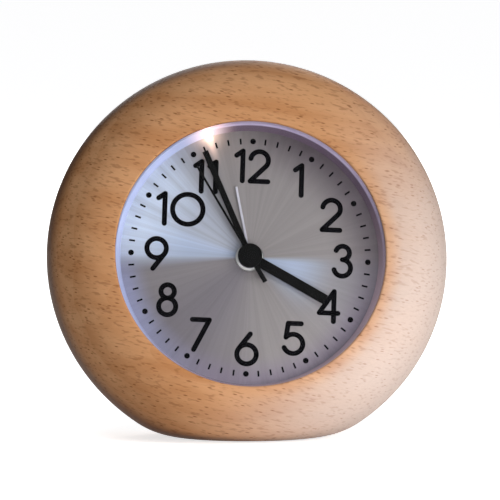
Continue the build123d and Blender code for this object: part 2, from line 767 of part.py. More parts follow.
def hour_wheel():
    layer = front_layer(2)
    phase = meshed_phase(MINUTE_PINION_TEETH, MOTION_AT, HOUR_WHEEL_TEETH, CENTRE)
    wheel = gear_slab(HOUR_WHEEL_TEETH, HOUR_MODULE, layer, CENTRE, phase, HOUR_TUBE_BORE)
    tube_front = HOUR_HAND_BACK - HAND_THICKNESS
    return wheel + tube(HOUR_TUBE_RADIUS, HOUR_TUBE_BORE, tube_front, layer[1])


def minute_wheel_phase():
    return meshed_phase(CANNON_TEETH, CENTRE, MINUTE_WHEEL_TEETH, MOTION_AT)


def minute_wheel():
    bore = STUD_RADIUS + RUN_FIT
    wheel = gear_slab(
        MINUTE_WHEEL_TEETH, MOTION_MODULE, front_layer(3), MOTION_AT, minute_wheel_phase(), bore
    )
    pinion_layer = (front_layer(2)[0], front_layer(3)[0])
    return wheel + gear_slab(MINUTE_PINION_TEETH, HOUR_MODULE, pinion_layer, MOTION_AT, 0.0, bore)


def centre_wheel():
    layer = front_layer(4)
    phase = meshed_phase(THIRD_PINION_TEETH, THIRD_AT, CENTRE_WHEEL_TEETH, CENTRE)
    wheel = gear_slab(CENTRE_WHEEL_TEETH, THIRD_MODULE, layer, CENTRE, phase, MINUTE_TUBE_BORE)
    cannon_layer = (front_layer(3)[0], layer[0])
    wheel += gear_slab(CANNON_TEETH, MOTION_MODULE, cannon_layer, CENTRE, 0.0, MINUTE_TUBE_BORE)
    tube_front = MINUTE_HAND_BACK - HAND_THICKNESS
    return wheel + tube(MINUTE_TUBE_RADIUS, MINUTE_TUBE_BORE, tube_front, layer[1])


def arbor(front, back, at):
    return disc(ARBOR_RADIUS, front, back, at)


REAR_PIVOT = REAR_FRONT + PIVOT_DEPTH - 0.1


def third_wheel():
    layer = rear_layer(1)
    phase = meshed_phase(SECOND_PINION_TEETH, CENTRE, THIRD_WHEEL_TEETH, THIRD_AT)
    wheel = gear_slab(THIRD_WHEEL_TEETH, SECOND_MODULE, layer, THIRD_AT, phase)
    wheel += gear_slab(THIRD_PINION_TEETH, THIRD_MODULE, front_layer(4), THIRD_AT)
    return wheel + arbor(front_layer(4)[0], REAR_PIVOT, THIRD_AT)


def second_wheel():
    layer = rear_layer(2)
    phase = meshed_phase(INTERMEDIATE_PINION_TEETH, INTERMEDIATE_AT, SECOND_WHEEL_TEETH, CENTRE)
    wheel = gear_slab(SECOND_WHEEL_TEETH, INTERMEDIATE_MODULE, layer, CENTRE, phase)
    pinion_layer = (rear_layer(1)[0], layer[0])
    wheel += gear_slab(SECOND_PINION_TEETH, SECOND_MODULE, pinion_layer, CENTRE)
    return wheel + arbor(SECOND_HAND_BACK - HAND_THICKNESS, REAR_PIVOT, CENTRE)


def intermediate_wheel():
    layer = rear_layer(3)
    phase = meshed_phase(ROTOR_PINION_TEETH, ROTOR_AT, INTERMEDIATE_WHEEL_TEETH, INTERMEDIATE_AT)
    wheel = gear_slab(INTERMEDIATE_WHEEL_TEETH, ROTOR_MODULE, layer, INTERMEDIATE_AT, phase)
    pinion_layer = (rear_layer(2)[0], layer[0])
    wheel += gear_slab(INTERMEDIATE_PINION_TEETH, INTERMEDIATE_MODULE, pinion_layer, INTERMEDIATE_AT)
    return wheel + arbor(MID_FRONT, REAR_PIVOT, INTERMEDIATE_AT)


def rotor():
    pinion = gear_slab(ROTOR_PINION_TEETH, ROTOR_MODULE, rear_layer(3), ROTOR_AT)
    return pinion + arbor(MAGNET_FRONT - FACE_GAP - PIVOT_DEPTH + 0.1, REAR_PIVOT, ROTOR_AT)


def rotor_magnet():
    return tube(MAGNET_RADIUS, ARBOR_RADIUS + PRESS_FIT, MAGNET_FRONT, MAGNET_FRONT + MAGNET_LENGTH, ROTOR_AT)


# Motor

def stator_frame():
    out, _ = stator_axes()
    return Pos(*ROTOR_AT) * Rot(0, 0, math.degrees(math.atan2(out[1], out[0])))


def stator():
    leg_middle = (STATOR_WIDTH / 2 + COIL_OFFSET + STATOR_LEG / 2) / 2
    leg_length = COIL_OFFSET + STATOR_LEG / 2 - STATOR_WIDTH / 2
    leg_at = STATOR_LENGTH / 2 - STATOR_LEG / 2
    shape = Rectangle(STATOR_WIDTH, STATOR_LENGTH) - Circle(MAGNET_RADIUS + STATOR_HOLE_GAP)
    shape += Pos(leg_middle, leg_at) * Rectangle(leg_length, STATOR_LEG)
    shape += Pos(leg_middle, -leg_at) * Rectangle(leg_length, STATOR_LEG)
    return slab(stator_frame() * shape, STATOR_FRONT, STATOR_BACK)


def coil_axis():
    # A frame on the coil whose Z runs along the winding.
    x, z = stator_place(COIL_OFFSET, 0)
    _, side = stator_axes()
    middle = (STATOR_FRONT + STATOR_BACK) / 2
    return Plane(origin=(x, middle, z), x_dir=(0, 1, 0), z_dir=(side[0], 0, side[1]))


COIL_SPAN = STATOR_LENGTH - 2 * STATOR_LEG


def coil_bobbin():
    frame = coil_axis()
    core = frame * Cylinder(BOBBIN_CORE_RADIUS, COIL_SPAN)
    for end in (-1, 1):
        flange = Cylinder(COIL_RADIUS, BOBBIN_FLANGE)
        core += frame * (Pos(0, 0, end * (COIL_LENGTH + BOBBIN_FLANGE) / 2) * flange)
    return core


def coil_winding():
    ring = Cylinder(COIL_RADIUS - 0.15, COIL_LENGTH) - Cylinder(BOBBIN_CORE_RADIUS, COIL_LENGTH)
    return coil_axis() * ring


# Back cover and battery

def cover_screw_places():
    return [polar(COVER_SCREW_CIRCLE, degrees) for degrees in (45, 135, 225, 315)]


def bay_block(half_length, half_height, front, back):
    return block(-half_length, half_length, front, back, -CELL_DROP - half_height, -CELL_DROP + half_height)


def flange_plate():
    shape = Circle(FLANGE_RADIUS) - Pos(0, -FLANGE_FLAT_DROP - FLANGE_RADIUS) * Rectangle(
        2 * FLANGE_RADIUS, 2 * FLANGE_RADIUS
    )
    plate = slab(shape, CASE_DEPTH, FLANGE_BACK)
    rim = plate.faces().sort_by(Axis.Y)[-1].outer_wire().edges()
    return fillet(rim, FLANGE_EDGE_ROUND)


def battery_tray():
    tray = bay_block(
        BAY_HALF_LENGTH + BAY_WALL, BAY_HALF_HEIGHT + BAY_WALL, TRAY_FRONT, CASE_DEPTH
    )
    return tray & disc(INSERT_RADIUS, TRAY_FRONT, CASE_DEPTH)


def board_post_places():
    return [(BOARD_POST_X, BOARD_POST_Z), (-BOARD_POST_X, BOARD_POST_Z)]


def button_hole_outline(growth):
    return Pos(0, BUTTON_RISE) * RectangleRounded(
        BUTTON_WIDTH + 2 * growth, BUTTON_HEIGHT + 2 * growth, BUTTON_ROUND + growth
    )


def grille_places():
    ring = [polar(GRILLE_CIRCLE, 360 * index / GRILLE_HOLES) for index in range(GRILLE_HOLES)]
    return [add((0, -BUZZER_DROP), at) for at in [CENTRE, *ring]]


def back_cover():
    cover = flange_plate()
    cover += tube(INSERT_RADIUS, INSERT_RADIUS - SKIRT_WALL, REAR_BACK, CASE_DEPTH)
    cover += battery_tray()
    cover -= bay_block(BAY_HALF_LENGTH, BAY_HALF_HEIGHT, TRAY_FRONT + BAY_WALL, FLANGE_BACK)
    cover -= bay_block(BAY_HALF_LENGTH + DOOR_LEDGE, BAY_HALF_HEIGHT + DOOR_LEDGE, CASE_DEPTH, FLANGE_BACK)
    cover += tube(
        BUZZER_RADIUS + BUZZER_COLLAR,
        BUZZER_RADIUS + RUN_FIT,
        CASE_DEPTH - BUZZER_COLLAR_DEPTH,
        CASE_DEPTH,
        (0, -BUZZER_DROP),
    )
    for at in board_post_places():
        cover += disc(BOARD_POST_RADIUS, BOARD_BACK, CASE_DEPTH, at)
        cover -= disc(SCREW_RADIUS + RUN_FIT, BOARD_BACK, BOARD_BACK + BOARD_SCREW_LENGTH, at)
    cover -= slab(button_hole_outline(DROP_FIT), CASE_DEPTH, FLANGE_BACK)
    slot_width = SWITCH_STEM_WIDTH + SWITCH_TRAVEL + 2 * DROP_FIT
    slot = Rectangle(slot_width, SWITCH_STEM_HEIGHT + 2 * DROP_FIT)
    cover -= slab(Pos(0, SWITCH_RISE) * slot, CASE_DEPTH, FLANGE_BACK)
    for at in (SETTING_AT, ALARM_AT):
        cover -= disc(SHAFT_RADIUS + RUN_FIT, CASE_DEPTH, FLANGE_BACK, at)
    for at in cover_screw_places():
        cover -= disc(SCREW_RADIUS + DROP_FIT, CASE_DEPTH, FLANGE_BACK, at)
    for at in grille_places():
        cover -= disc(GRILLE_HOLE_RADIUS, CASE_DEPTH, FLANGE_BACK, at)
    door_top = -CELL_DROP + BAY_HALF_HEIGHT + DOOR_LEDGE
    return cover - disc(THUMB_RADIUS, FLANGE_BACK - THUMB_DEPTH, FLANGE_BACK, (0, door_top))


def battery_door():
    growth = DOOR_LEDGE - DROP_FIT
    door = bay_block(BAY_HALF_LENGTH + growth, BAY_HALF_HEIGHT + growth, CASE_DEPTH, FLANGE_BACK)
    corners = door.edges().filter_by(Axis.Y)
    door = fillet(corners, DROP_FIT * 2)
    rib_low = -CELL_DROP + BAY_HALF_HEIGHT - 5
    for index in range(3):
        z = rib_low + 1.6 * index
        door -= block(-5, 5, FLANGE_BACK - 0.4, FLANGE_BACK, z, z + 0.7)
    return door


def cell_frame(x):
    return Plane(origin=(x, CELL_AXIS_DEPTH, -CELL_DROP), x_dir=(0, 1, 0), z_dir=(1, 0, 0))


def battery_cell():
    middle = (CELL_FAR_END + CELL_FRONT_END) / 2
    body = Cylinder(CELL_DIAMETER / 2, CELL_LENGTH)
    body = fillet(body.edges().filter_by(GeomType.CIRCLE), 0.6)
    nub = Pos(0, 0, (CELL_LENGTH + CELL_NUB_LENGTH) / 2) * Cylinder(CELL_NUB_RADIUS, CELL_NUB_LENGTH)
    return cell_frame(middle) * (body + nub)


def nub_contact():
    half = CONTACT_WIDTH / 2
    depth = (CELL_AXIS_DEPTH - CONTACT_HEIGHT / 2, CELL_AXIS_DEPTH + CONTACT_HEIGHT / 2)
    return block(NUB_CONTACT_AT, BAY_HALF_LENGTH, *depth, -CELL_DROP - half, -CELL_DROP + half)


def spring_contact():
    # A bowed leaf: a flat foot on the end wall and a tongue that presses on the flat end of the cell.
    half = CONTACT_WIDTH / 2
    foot = SPRING_BASE_AT + CONTACT_THICKNESS
    low = CELL_AXIS_DEPTH - CONTACT_HEIGHT / 2
    high = CELL_AXIS_DEPTH + CONTACT_HEIGHT / 2
    strip = Polyline(
        (SPRING_BASE_AT, low),
        (foot, low),
        (foot, high - CONTACT_THICKNESS),
        (CELL_FAR_END - CONTACT_THICKNESS, CELL_AXIS_DEPTH + 1),
        (CELL_FAR_END - CONTACT_THICKNESS, CELL_AXIS_DEPTH - 2),
        (CELL_FAR_END, CELL_AXIS_DEPTH - 2),
        (CELL_FAR_END, CELL_AXIS_DEPTH + 1.2),
        (foot, high),
        (SPRING_BASE_AT, high),
        close=True,
    )
    leaf = extrude(Plane.XY.offset(-CELL_DROP - half) * make_face(strip), CONTACT_WIDTH)
    return leaf


def cover_screws():
    return Compound([screw(at, FLANGE_BACK, COVER_SCREW_LENGTH) for at in cover_screw_places()])


# Knobs, button and switch

def knob(at):
    front = FLANGE_BACK + FACE_GAP
    back = front + KNOB_HEIGHT
    outline = Circle(KNOB_RADIUS)
    for index in range(KNOB_FLUTES):
        outline -= Pos(*polar(KNOB_RADIUS + 0.2, 360 * index / KNOB_FLUTES)) * Circle(KNOB_FLUTE_RADIUS)
    body = slab(Pos(*at) * outline, front, back)
    body -= disc(KNOB_RADIUS - 1.6, back - 0.4, back, at)
    return body - disc(SHAFT_RADIUS + PRESS_FIT, front, front + KNOB_SOCKET, at)


def setting_shaft(at, pinion, pinion_layer):
    shaft_back = FLANGE_BACK + FACE_GAP + KNOB_SOCKET
    shaft = disc(SHAFT_RADIUS, pinion_layer[0], shaft_back, at)
    shaft += disc(SHAFT_PIVOT_RADIUS, PLATE_BACK - PIVOT_DEPTH + 0.1, pinion_layer[0], at)
    return shaft + pinion


def time_shaft():
    line = meshed_phase(MINUTE_WHEEL_TEETH, MOTION_AT, SETTING_TEETH, SETTING_AT, minute_wheel_phase())
    pinion = gear_slab(SETTING_TEETH, MOTION_MODULE, front_layer(3), SETTING_AT, line)
    return setting_shaft(SETTING_AT, pinion, front_layer(3))


def alarm_shaft():
    pinion = gear_slab(ALARM_PINION_TEETH, ALARM_MODULE, front_layer(1), ALARM_AT)
    return setting_shaft(ALARM_AT, pinion, front_layer(1))


TACT_WELL = BUTTON_TRAVEL + FACE_GAP
TACT_BACK = BOARD_BACK + TACT_HEIGHT


def snooze_button():
    lip_back = CASE_DEPTH - FACE_GAP / 3
    lip_front = lip_back - BUTTON_LIP_THICKNESS
    button = slab(button_hole_outline(0), lip_front, FLANGE_BACK + BUTTON_PROUD)
    rim = button.faces().sort_by(Axis.Y)[-1].outer_wire().edges()
    button = fillet(rim, 0.6)
    button += slab(button_hole_outline(BUTTON_LIP), lip_front, lip_back)
    stem_front = TACT_BACK - FACE_GAP
    return button + disc(BUTTON_STEM_RADIUS, stem_front, lip_front, (0, BUTTON_RISE))


def tact_switch():
    half = TACT_SIDE / 2
    body = block(-half, half, BOARD_BACK, TACT_BACK, BUTTON_RISE - half, BUTTON_RISE + half)
    well = BUTTON_STEM_RADIUS + DROP_FIT
    return body - disc(well, TACT_BACK - FACE_GAP - TACT_WELL, TACT_BACK, (0, BUTTON_RISE))


SWITCH_BODY_BACK = BOARD_BACK + SWITCH_BODY_DEPTH
SWITCH_SHOE_FRONT = SWITCH_BODY_BACK - SWITCH_SHOE_DEPTH + RUN_FIT


def switch_body():
    half = SWITCH_BODY_WIDTH / 2
    rise = SWITCH_BODY_HEIGHT / 2
    body = block(-half, half, BOARD_BACK, SWITCH_BODY_BACK, SWITCH_RISE - rise, SWITCH_RISE + rise)
    room = (SWITCH_SHOE_WIDTH + SWITCH_TRAVEL) / 2 + DROP_FIT
    shoe = SWITCH_SHOE_HEIGHT / 2 + DROP_FIT
    front = SWITCH_SHOE_FRONT - RUN_FIT
    return body - block(-room, room, front, SWITCH_BODY_BACK, SWITCH_RISE - shoe, SWITCH_RISE + shoe)


def switch_slider():
    middle = -SWITCH_TRAVEL / 2
    shoe = SWITCH_SHOE_WIDTH / 2
    rise = SWITCH_SHOE_HEIGHT / 2
    stem = SWITCH_STEM_WIDTH / 2
    height = SWITCH_STEM_HEIGHT / 2
    slider = block(
        middle - shoe, middle + shoe, SWITCH_SHOE_FRONT, SWITCH_BODY_BACK, SWITCH_RISE - rise, SWITCH_RISE + rise
    )
    back = FLANGE_BACK + SWITCH_PROUD
    slider += block(
        middle - stem, middle + stem, SWITCH_BODY_BACK, back, SWITCH_RISE - height, SWITCH_RISE + height
    )
    for offset in (-0.6, 0.6):
        x = middle + offset
        slider -= block(x - 0.15, x + 0.15, back - 0.3, back, SWITCH_RISE - height, SWITCH_RISE + height)
    return slider


# Circuit board

def circuit_board():
    middle = (BOARD_LOW_EDGE + BOARD_EDGE_RADIUS) / 2
    shape = Pos(0, middle) * Rectangle(2 * BOARD_HALF_WIDTH, BOARD_EDGE_RADIUS - BOARD_LOW_EDGE)
    shape = shape & Circle(BOARD_EDGE_RADIUS)
    tongue_middle = (BOARD_TONGUE_LOW_EDGE + BOARD_LOW_EDGE) / 2
    tongue_height = BOARD_LOW_EDGE - BOARD_TONGUE_LOW_EDGE
    shape += Pos(0, tongue_middle) * Rectangle(2 * BOARD_TONGUE_HALF_WIDTH, tongue_height)
    for at in board_post_places():
        shape -= Pos(*at) * Circle(SCREW_RADIUS + RUN_FIT)
    for at in lead_places():
        shape -= Pos(*at) * Circle(LEAD_RADIUS + RUN_FIT)
    return slab(shape, BOARD_BACK - BOARD_THICKNESS, BOARD_BACK)


def board_screws():
    front = BOARD_BACK - BOARD_THICKNESS
    screws = []
    for at in board_post_places():
        head = disc(SCREW_HEAD_RADIUS, front - SCREW_HEAD_HEIGHT, front, at)
        slot = Pos(*at) * Rectangle(1.4 * SCREW_HEAD_RADIUS, SCREW_SLOT)
        head -= slab(slot, front - SCREW_HEAD_HEIGHT, front - SCREW_HEAD_HEIGHT / 2)
        screws.append(head + disc(SCREW_RADIUS, front, BOARD_BACK + BOARD_SCREW_LENGTH - 0.3, at))
    return Compound(screws)


def quartz_crystal():
    at = Pos(BOARD_HALF_WIDTH - 7, BOARD_BACK + CRYSTAL_RADIUS, BOARD_LOW_EDGE + CRYSTAL_RADIUS + 0.4)
    can = Cylinder(CRYSTAL_RADIUS, CRYSTAL_LENGTH)
    return at * Rot(0, 90, 0) * can


def chip_cover():
    at = (-BOARD_HALF_WIDTH + 11.5, BOARD_LOW_EDGE + CHIP_RADIUS + 0.6)
    front = BOARD_BACK - BOARD_THICKNESS
    blob = disc(CHIP_RADIUS, front - CHIP_HEIGHT, front, at)
    rim = blob.edges().filter_by(GeomType.CIRCLE).sort_by(Axis.Y)[0]
    return fillet(rim, CHIP_HEIGHT * 0.7)


def buzzer():
    at = (0, -BUZZER_DROP)
    can = disc(BUZZER_RADIUS, CASE_DEPTH - BUZZER_DEPTH, CASE_DEPTH, at)
    return can - disc(1.0, CASE_DEPTH - 1.5, CASE_DEPTH, at)


# Night light and wires

def night_light():
    back = DIAL_FRONT
    front = back - LED_DEPTH
    inner = RING_FRONT_RADIUS
    outer = RING_FRONT_RADIUS + LED_LENGTH - DROP_FIT
    body = led_frame((inner + outer) / 2, (front + back) / 2) * Box(outer - inner, LED_DEPTH, LED_WIDTH)
    dome = led_frame(inner, (front + back) / 2) * Sphere(LED_DOME_RADIUS)
    return body + dome


def led_leads():
    return Compound([disc(LEAD_RADIUS, DIAL_FRONT, BOARD_BACK, at) for at in lead_places()])


def wire(points):
    path = FilletPolyline(*points, radius=WIRE_BEND)
    start = Plane(origin=path @ 0, z_dir=path % 0)
    return sweep(start * Circle(WIRE_RADIUS), path)


def battery_leads():
    contact_depth = CELL_AXIS_DEPTH + CONTACT_HEIGHT / 2
    wires = []
    for side in (-1, 1):
        wall = side * (BAY_HALF_LENGTH - CONTACT_THICKNESS / 2 - 1.5)
        top = -CELL_DROP + BAY_HALF_HEIGHT + BAY_WALL
        board_x = side * (BOARD_HALF_WIDTH - 1.2)
        points = [
            (wall, contact_depth - 8, top),
            (wall, contact_depth - 8, top + 12),
            (board_x, contact_depth - 8, BOARD_LOW_EDGE + 1.5),
            (board_x, BOARD_BACK - BOARD_THICKNESS, BOARD_LOW_EDGE + 1.5),
        ]
        wires.append(wire(points))
    return Compound(wires)


# The finished pieces lean back about X, with the case centre above the middle of the base.
CASE_CENTRE = Pos(0, -CASE_WIDEST_DEPTH, -CASE_RISE)
STAND = Pos(0, 0, BASE_DROP) * Rot(-LEAN, 0, 0) * CASE_CENTRE

UPRIGHT = {
    "lens": lens,
    "dial_ring": dial_ring,
    "dial": dial,
    "dial_numerals": numerals,
    "dial_minute_track": minute_track,
    "alarm_hand": alarm_hand,
    "hour_hand": hour_hand,
    "minute_hand": minute_hand,
    "second_hand": second_hand,
    "hand_cap": hand_cap,
    "movement_front": movement_front,
    "movement_bridge": bridge,
    "movement_rear": movement_rear,
    "movement_screws": movement_screws,
    "bridge_screws": bridge_screws,
    "alarm_wheel": alarm_wheel,
    "hour_wheel": hour_wheel,
    "minute_wheel": minute_wheel,
    "centre_wheel": centre_wheel,
    "third_wheel": third_wheel,
    "second_wheel": second_wheel,
    "intermediate_wheel": intermediate_wheel,
    "rotor_pinion": rotor,
    "rotor_magnet": rotor_magnet,
    "stator": stator,
    "coil_bobbin": coil_bobbin,
    "coil_winding": coil_winding,
    "back_cover": back_cover,
    "back_cover_screws": cover_screws,
    "battery_door": battery_door,
    "battery_cell": battery_cell,
    "battery_nub_contact": nub_contact,
    "battery_spring_contact": spring_contact,
    "time_shaft": time_shaft,
    "alarm_shaft": alarm_shaft,
    "time_knob": lambda: knob(SETTING_AT),
    "alarm_knob": lambda: knob(ALARM_AT),
    "snooze_button": snooze_button,
    "snooze_switch": tact_switch,
    "alarm_switch_body": switch_body,
    "alarm_switch_slider": switch_slider,
    "circuit_board": circuit_board,
    "board_screws": board_screws,
    "quartz_crystal": quartz_crystal,
    "chip_cover": chip_cover,
    "buzzer": buzzer,
    "night_light": night_light,
    "night_light_leads": led_leads,
    "battery_leads": battery_leads,
}

os.makedirs("parts", exist_ok=True)
export_step(wood_case(), "parts/wood_case.step")
for name, make in UPRIGHT.items():
    export_step(STAND * make(), f"parts/{name}.step")
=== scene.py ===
"""Looks of a round beech desk clock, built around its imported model.

Every new piece is worked out upright, in millimetres, with the dial facing -Y, depth running along +Y
from the front edge of the wood and the dial axis at x = z = 0. The stance then leans it back into place.
"""

import json
import logging
import math
from dataclasses import dataclass, field
from enum import Enum
from typing import Sequence, Union

import bmesh
import bpy
import numpy as np
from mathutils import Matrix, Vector


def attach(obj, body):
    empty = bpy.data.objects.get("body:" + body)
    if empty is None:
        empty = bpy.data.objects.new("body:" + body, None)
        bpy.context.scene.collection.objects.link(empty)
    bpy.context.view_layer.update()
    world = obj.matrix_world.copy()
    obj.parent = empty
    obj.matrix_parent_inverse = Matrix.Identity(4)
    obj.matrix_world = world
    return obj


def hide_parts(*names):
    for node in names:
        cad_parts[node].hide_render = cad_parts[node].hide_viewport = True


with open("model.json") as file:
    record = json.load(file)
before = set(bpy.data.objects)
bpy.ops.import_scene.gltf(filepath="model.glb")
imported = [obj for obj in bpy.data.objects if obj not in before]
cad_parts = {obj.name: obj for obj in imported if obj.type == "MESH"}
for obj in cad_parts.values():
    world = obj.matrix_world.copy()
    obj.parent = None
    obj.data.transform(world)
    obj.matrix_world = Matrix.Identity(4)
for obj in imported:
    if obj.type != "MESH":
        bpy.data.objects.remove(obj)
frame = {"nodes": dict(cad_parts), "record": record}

log = logging.getLogger("desk_clock")
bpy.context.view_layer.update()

Number = Union[int, float]
Point = tuple[float, float]
Triple = tuple[float, float, float]
Colour = tuple[float, float, float]

# Sizes that more than one sub-assembly is built to, in millimetres and degrees.
OPENING = 31.9
WOOD_DEPTH = 35.0
DIAL_FRONT = 5.6
DIAL_TURN = 2.7
CELL_DROP = 9.0

MM = 1000.0  # millimetres in a metre
WELD = 2e-6  # points closer than this, in metres, are merged
SLIVER = 1e-7  # edges shorter than this, in metres, are dissolved
NO_LENGTH = 1e-9  # keeps a division by a length of nothing finite


class Body(Enum):
    """Bodies of the clock that new pieces ride on."""

    CASE = "case"
    HOUR = "hour_train"
    MINUTE = "minute_train"
    SECOND = "second_train"
    ALARM = "alarm_train"
    TIME_SETTER = "time_setter"
    ALARM_SETTER = "alarm_setter"
    SNOOZE = "snooze"
    DOOR = "door"


class Axis(Enum):
    """Direction, in the upright frame, that a turned piece is turned about."""

    DEPTH = "depth"
    ACROSS = "across"


@dataclass(frozen=True)
class Stance:
    """How the upright clock is leaned back, in degrees, and set on its base, in millimetres."""

    lean: float = 16.0
    widest_depth: float = 16.0
    rise: float = 2.0
    drop: float = 42.2

    @property
    def cosine(self) -> float:
        """Cosine of the lean."""
        return math.cos(math.radians(self.lean))

    @property
    def sine(self) -> float:
        """Sine of the lean."""
        return math.sin(math.radians(self.lean))

    def leaned(self, points: np.ndarray) -> np.ndarray:
        """Turn upright points back by the lean and set the case centre over the base.

        Args:
            points: upright points in millimetres, last axis x, y, z.

        Returns:
            The standing points in millimetres.
        """
        depth = points[..., 1] - self.widest_depth
        height = points[..., 2] - self.rise
        back = depth * self.cosine + height * self.sine
        up = self.drop - depth * self.sine + height * self.cosine
        return np.stack([points[..., 0], back, up], axis=-1)

    def upright_height(self) -> tuple[Vector, float]:
        """Direction and offset, in metres, that give a standing point's height above the dial axis."""
        return Vector((0, self.sine, self.cosine)), (self.rise - self.drop * self.cosine) / MM


STANCE = Stance()


def grid_faces(
    rows: int, columns: int, close_rows: bool, close_columns: bool, start: int = 0
) -> np.ndarray:
    """Quads of a grid of points, numbered row by row.

    Args:
        rows: number of rows of points.
        columns: number of points in a row.
        close_rows: whether the last row joins the first.
        close_columns: whether the last point of a row joins its first.
        start: number of the grid's first point.

    Returns:
        An array of four point numbers for each quad.
    """
    row = np.arange(rows if close_rows else rows - 1)[:, None]
    column = np.arange(columns if close_columns else columns - 1)[None, :]
    below, right = (row + 1) % rows, (column + 1) % columns
    corners = [
        row * columns + column,
        row * columns + right,
        below * columns + right,
        below * columns + column,
    ]
    return start + np.stack(np.broadcast_arrays(*corners), axis=-1).reshape(-1, 4)


@dataclass
class Surface:
    """Points and quads of one piece, gathered from one or more grids."""

    name: str
    points: list[np.ndarray] = field(default_factory=list)
    quads: list[np.ndarray] = field(default_factory=list)
    count: int = 0

    def add(self, grid: np.ndarray, close_rows: bool = False, close_columns: bool = False) -> "Surface":
        """Add a grid of upright points, last axis x, y, z in millimetres.

        Args:
            grid: points by row and column.
            close_rows: whether the last row joins the first.
            close_columns: whether the last point of a row joins its first.

        Returns:
            This surface.
        """
        rows, columns = grid.shape[:2]
        self.quads.append(grid_faces(rows, columns, close_rows, close_columns, self.count))
        self.points.append(grid.reshape(-1, 3))
        self.count += rows * columns
        return self

    def build(self, body: Body, slot: str, replaces: Sequence[str], sharp: float) -> bpy.types.Object:
        """Make the mesh object, merge its poles and seams, and set it on its body.

        Args:
            body: the body that the piece rides on.
            slot: material slot of the record; not used.
            replaces: names of the solids that the piece stands for.
            sharp: angle in degrees above which an edge stays sharp.

        Returns:
            The finished object.
        """
        standing = STANCE.leaned(np.concatenate(self.points)) / MM
        mesh = bpy.data.meshes.new(self.name)
        mesh.from_pydata(standing.tolist(), [], np.concatenate(self.quads).tolist())
        work = bmesh.new()
        work.from_mesh(mesh)
        bmesh.ops.remove_doubles(work, verts=work.verts, dist=WELD)
        bmesh.ops.dissolve_degenerate(work, edges=work.edges, dist=SLIVER)
        bmesh.ops.recalc_face_normals(work, faces=work.faces)
        work.to_mesh(mesh)
        work.free()
        mesh.polygons.foreach_set("use_smooth", np.ones(len(mesh.polygons), bool))
        mesh.set_sharp_from_angle(angle=math.radians(sharp))
        piece = bpy.data.objects.new(self.name, mesh)
        bpy.context.scene.collection.objects.link(piece)
        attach(piece, body.value)
        if replaces:
            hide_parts(*replaces)
        log.info("%s: %d faces on %s", self.name, len(mesh.polygons), body.value)
        return piece


def turned(
    profile: np.ndarray, at: Point = (0.0, 0.0), steps: int = 160, about: Axis = Axis.DEPTH
) -> np.ndarray:
    """Carry a profile round a circle: each point keeps its radius and its place along the axis.

    Args:
        profile: radius and place along the axis, point by point.
        at: place of the axis: x and z for the depth axis, y and z for the axis across.
        steps: points on the circle.
        about: which way the axis points.

    Returns:
        A grid of upright points, one row for each profile point.
    """
    angle = np.linspace(0, 2 * np.pi, steps, endpoint=False)[None, :]
    radius, along = profile[:, :1], profile[:, 1:] + 0 * angle
    first = at[0] + radius * np.cos(angle)
    second = at[1] + radius * np.sin(angle)
    order = (first, along, second) if about is Axis.DEPTH else (along, first, second)
    return np.stack(order, axis=-1)


def rounded(corners: Sequence[Triple], steps: int = 5) -> np.ndarray:
    """Round the corners of a closed profile with quadratic curves.

    Args:
        corners: radius, place along the axis and how far from the corner its round begins.
        steps: points on each round.

    Returns:
        The profile's points.
    """
    table = np.array(corners, float)
    here, reach = table[:, :2], table[:, 2:]
    to_before, to_after = np.roll(here, 1, 0) - here, np.roll(here, -1, 0) - here
    to_before /= np.maximum(np.linalg.norm(to_before, axis=1, keepdims=True), NO_LENGTH)
    to_after /= np.maximum(np.linalg.norm(to_after, axis=1, keepdims=True), NO_LENGTH)
    share = np.linspace(0, 1, steps)[None, :, None]
    start = (here + to_before * reach)[:, None]
    end = (here + to_after * reach)[:, None]
    curve = (1 - share) ** 2 * start + 2 * share * (1 - share) * here[:, None] + share**2 * end
    return curve.reshape(-1, 2)


def soft_floor(height: np.ndarray, floor: Union[float, np.ndarray], blend: float) -> np.ndarray:
    """Raise whatever lies below a floor onto it, with a parabola of twice the blend at the edge.

    Args:
        height: heights to raise.
        floor: height of the floor.
        blend: how far above and below the floor the parabola reaches.

    Returns:
        The raised heights.
    """
    over = height - floor
    bend = (over + blend) ** 2 / (4 * blend)
    return floor + np.where(over > blend, over, np.where(over < -blend, 0.0, bend))


def rounded_rectangle(width: float, height: float, radius: float, steps: int = 10) -> np.ndarray:
    """Outline of a rectangle with quarter-circle corners.

    Args:
        width: size across.
        height: size upwards.
        radius: radius of the corners.
        steps: points on each corner.

    Returns:
        Points x and z round the rectangle's centre.
    """
    quarter = np.linspace(0, np.pi / 2, steps)
    angle = (quarter[None, :] + (np.pi / 2) * np.arange(4)[:, None]).reshape(-1)
    side = np.repeat(np.array([[1, 1], [-1, 1], [-1, -1], [1, -1]], float), steps, axis=0)
    centre = side * np.array([width / 2 - radius, height / 2 - radius])
    return centre + radius * np.stack([np.cos(angle), np.sin(angle)], axis=-1)


def stack_of(outlines: Sequence[np.ndarray], depths: Sequence[float], at: Point) -> np.ndarray:
    """Join outlines of equal length into one closed skin, its ends drawn in to their middles.

    Args:
        outlines: x and z of each outline round its own centre.
        depths: depth of each outline.
        at: place of the centre.

    Returns:
        A grid of upright points, one row for each outline.
    """
    rings = np.stack([outlines[0] * 0.0, *outlines, outlines[-1] * 0.0])
    levels = np.array([depths[0], *depths, depths[-1]])[:, None]
    x, z = at[0] + rings[..., 0], at[1] + rings[..., 1]
    return np.stack([x, levels + 0 * x, z], axis=-1)


def arc(centre: Point, radius: float, start: float, sweep: float, steps: int = 40) -> np.ndarray:
    """Points along an arc, start and sweep in degrees."""
    angle = np.radians(start + sweep * np.linspace(0, 1, steps))
    return np.array(centre) + radius * np.stack([np.cos(angle), np.sin(angle)], axis=-1)


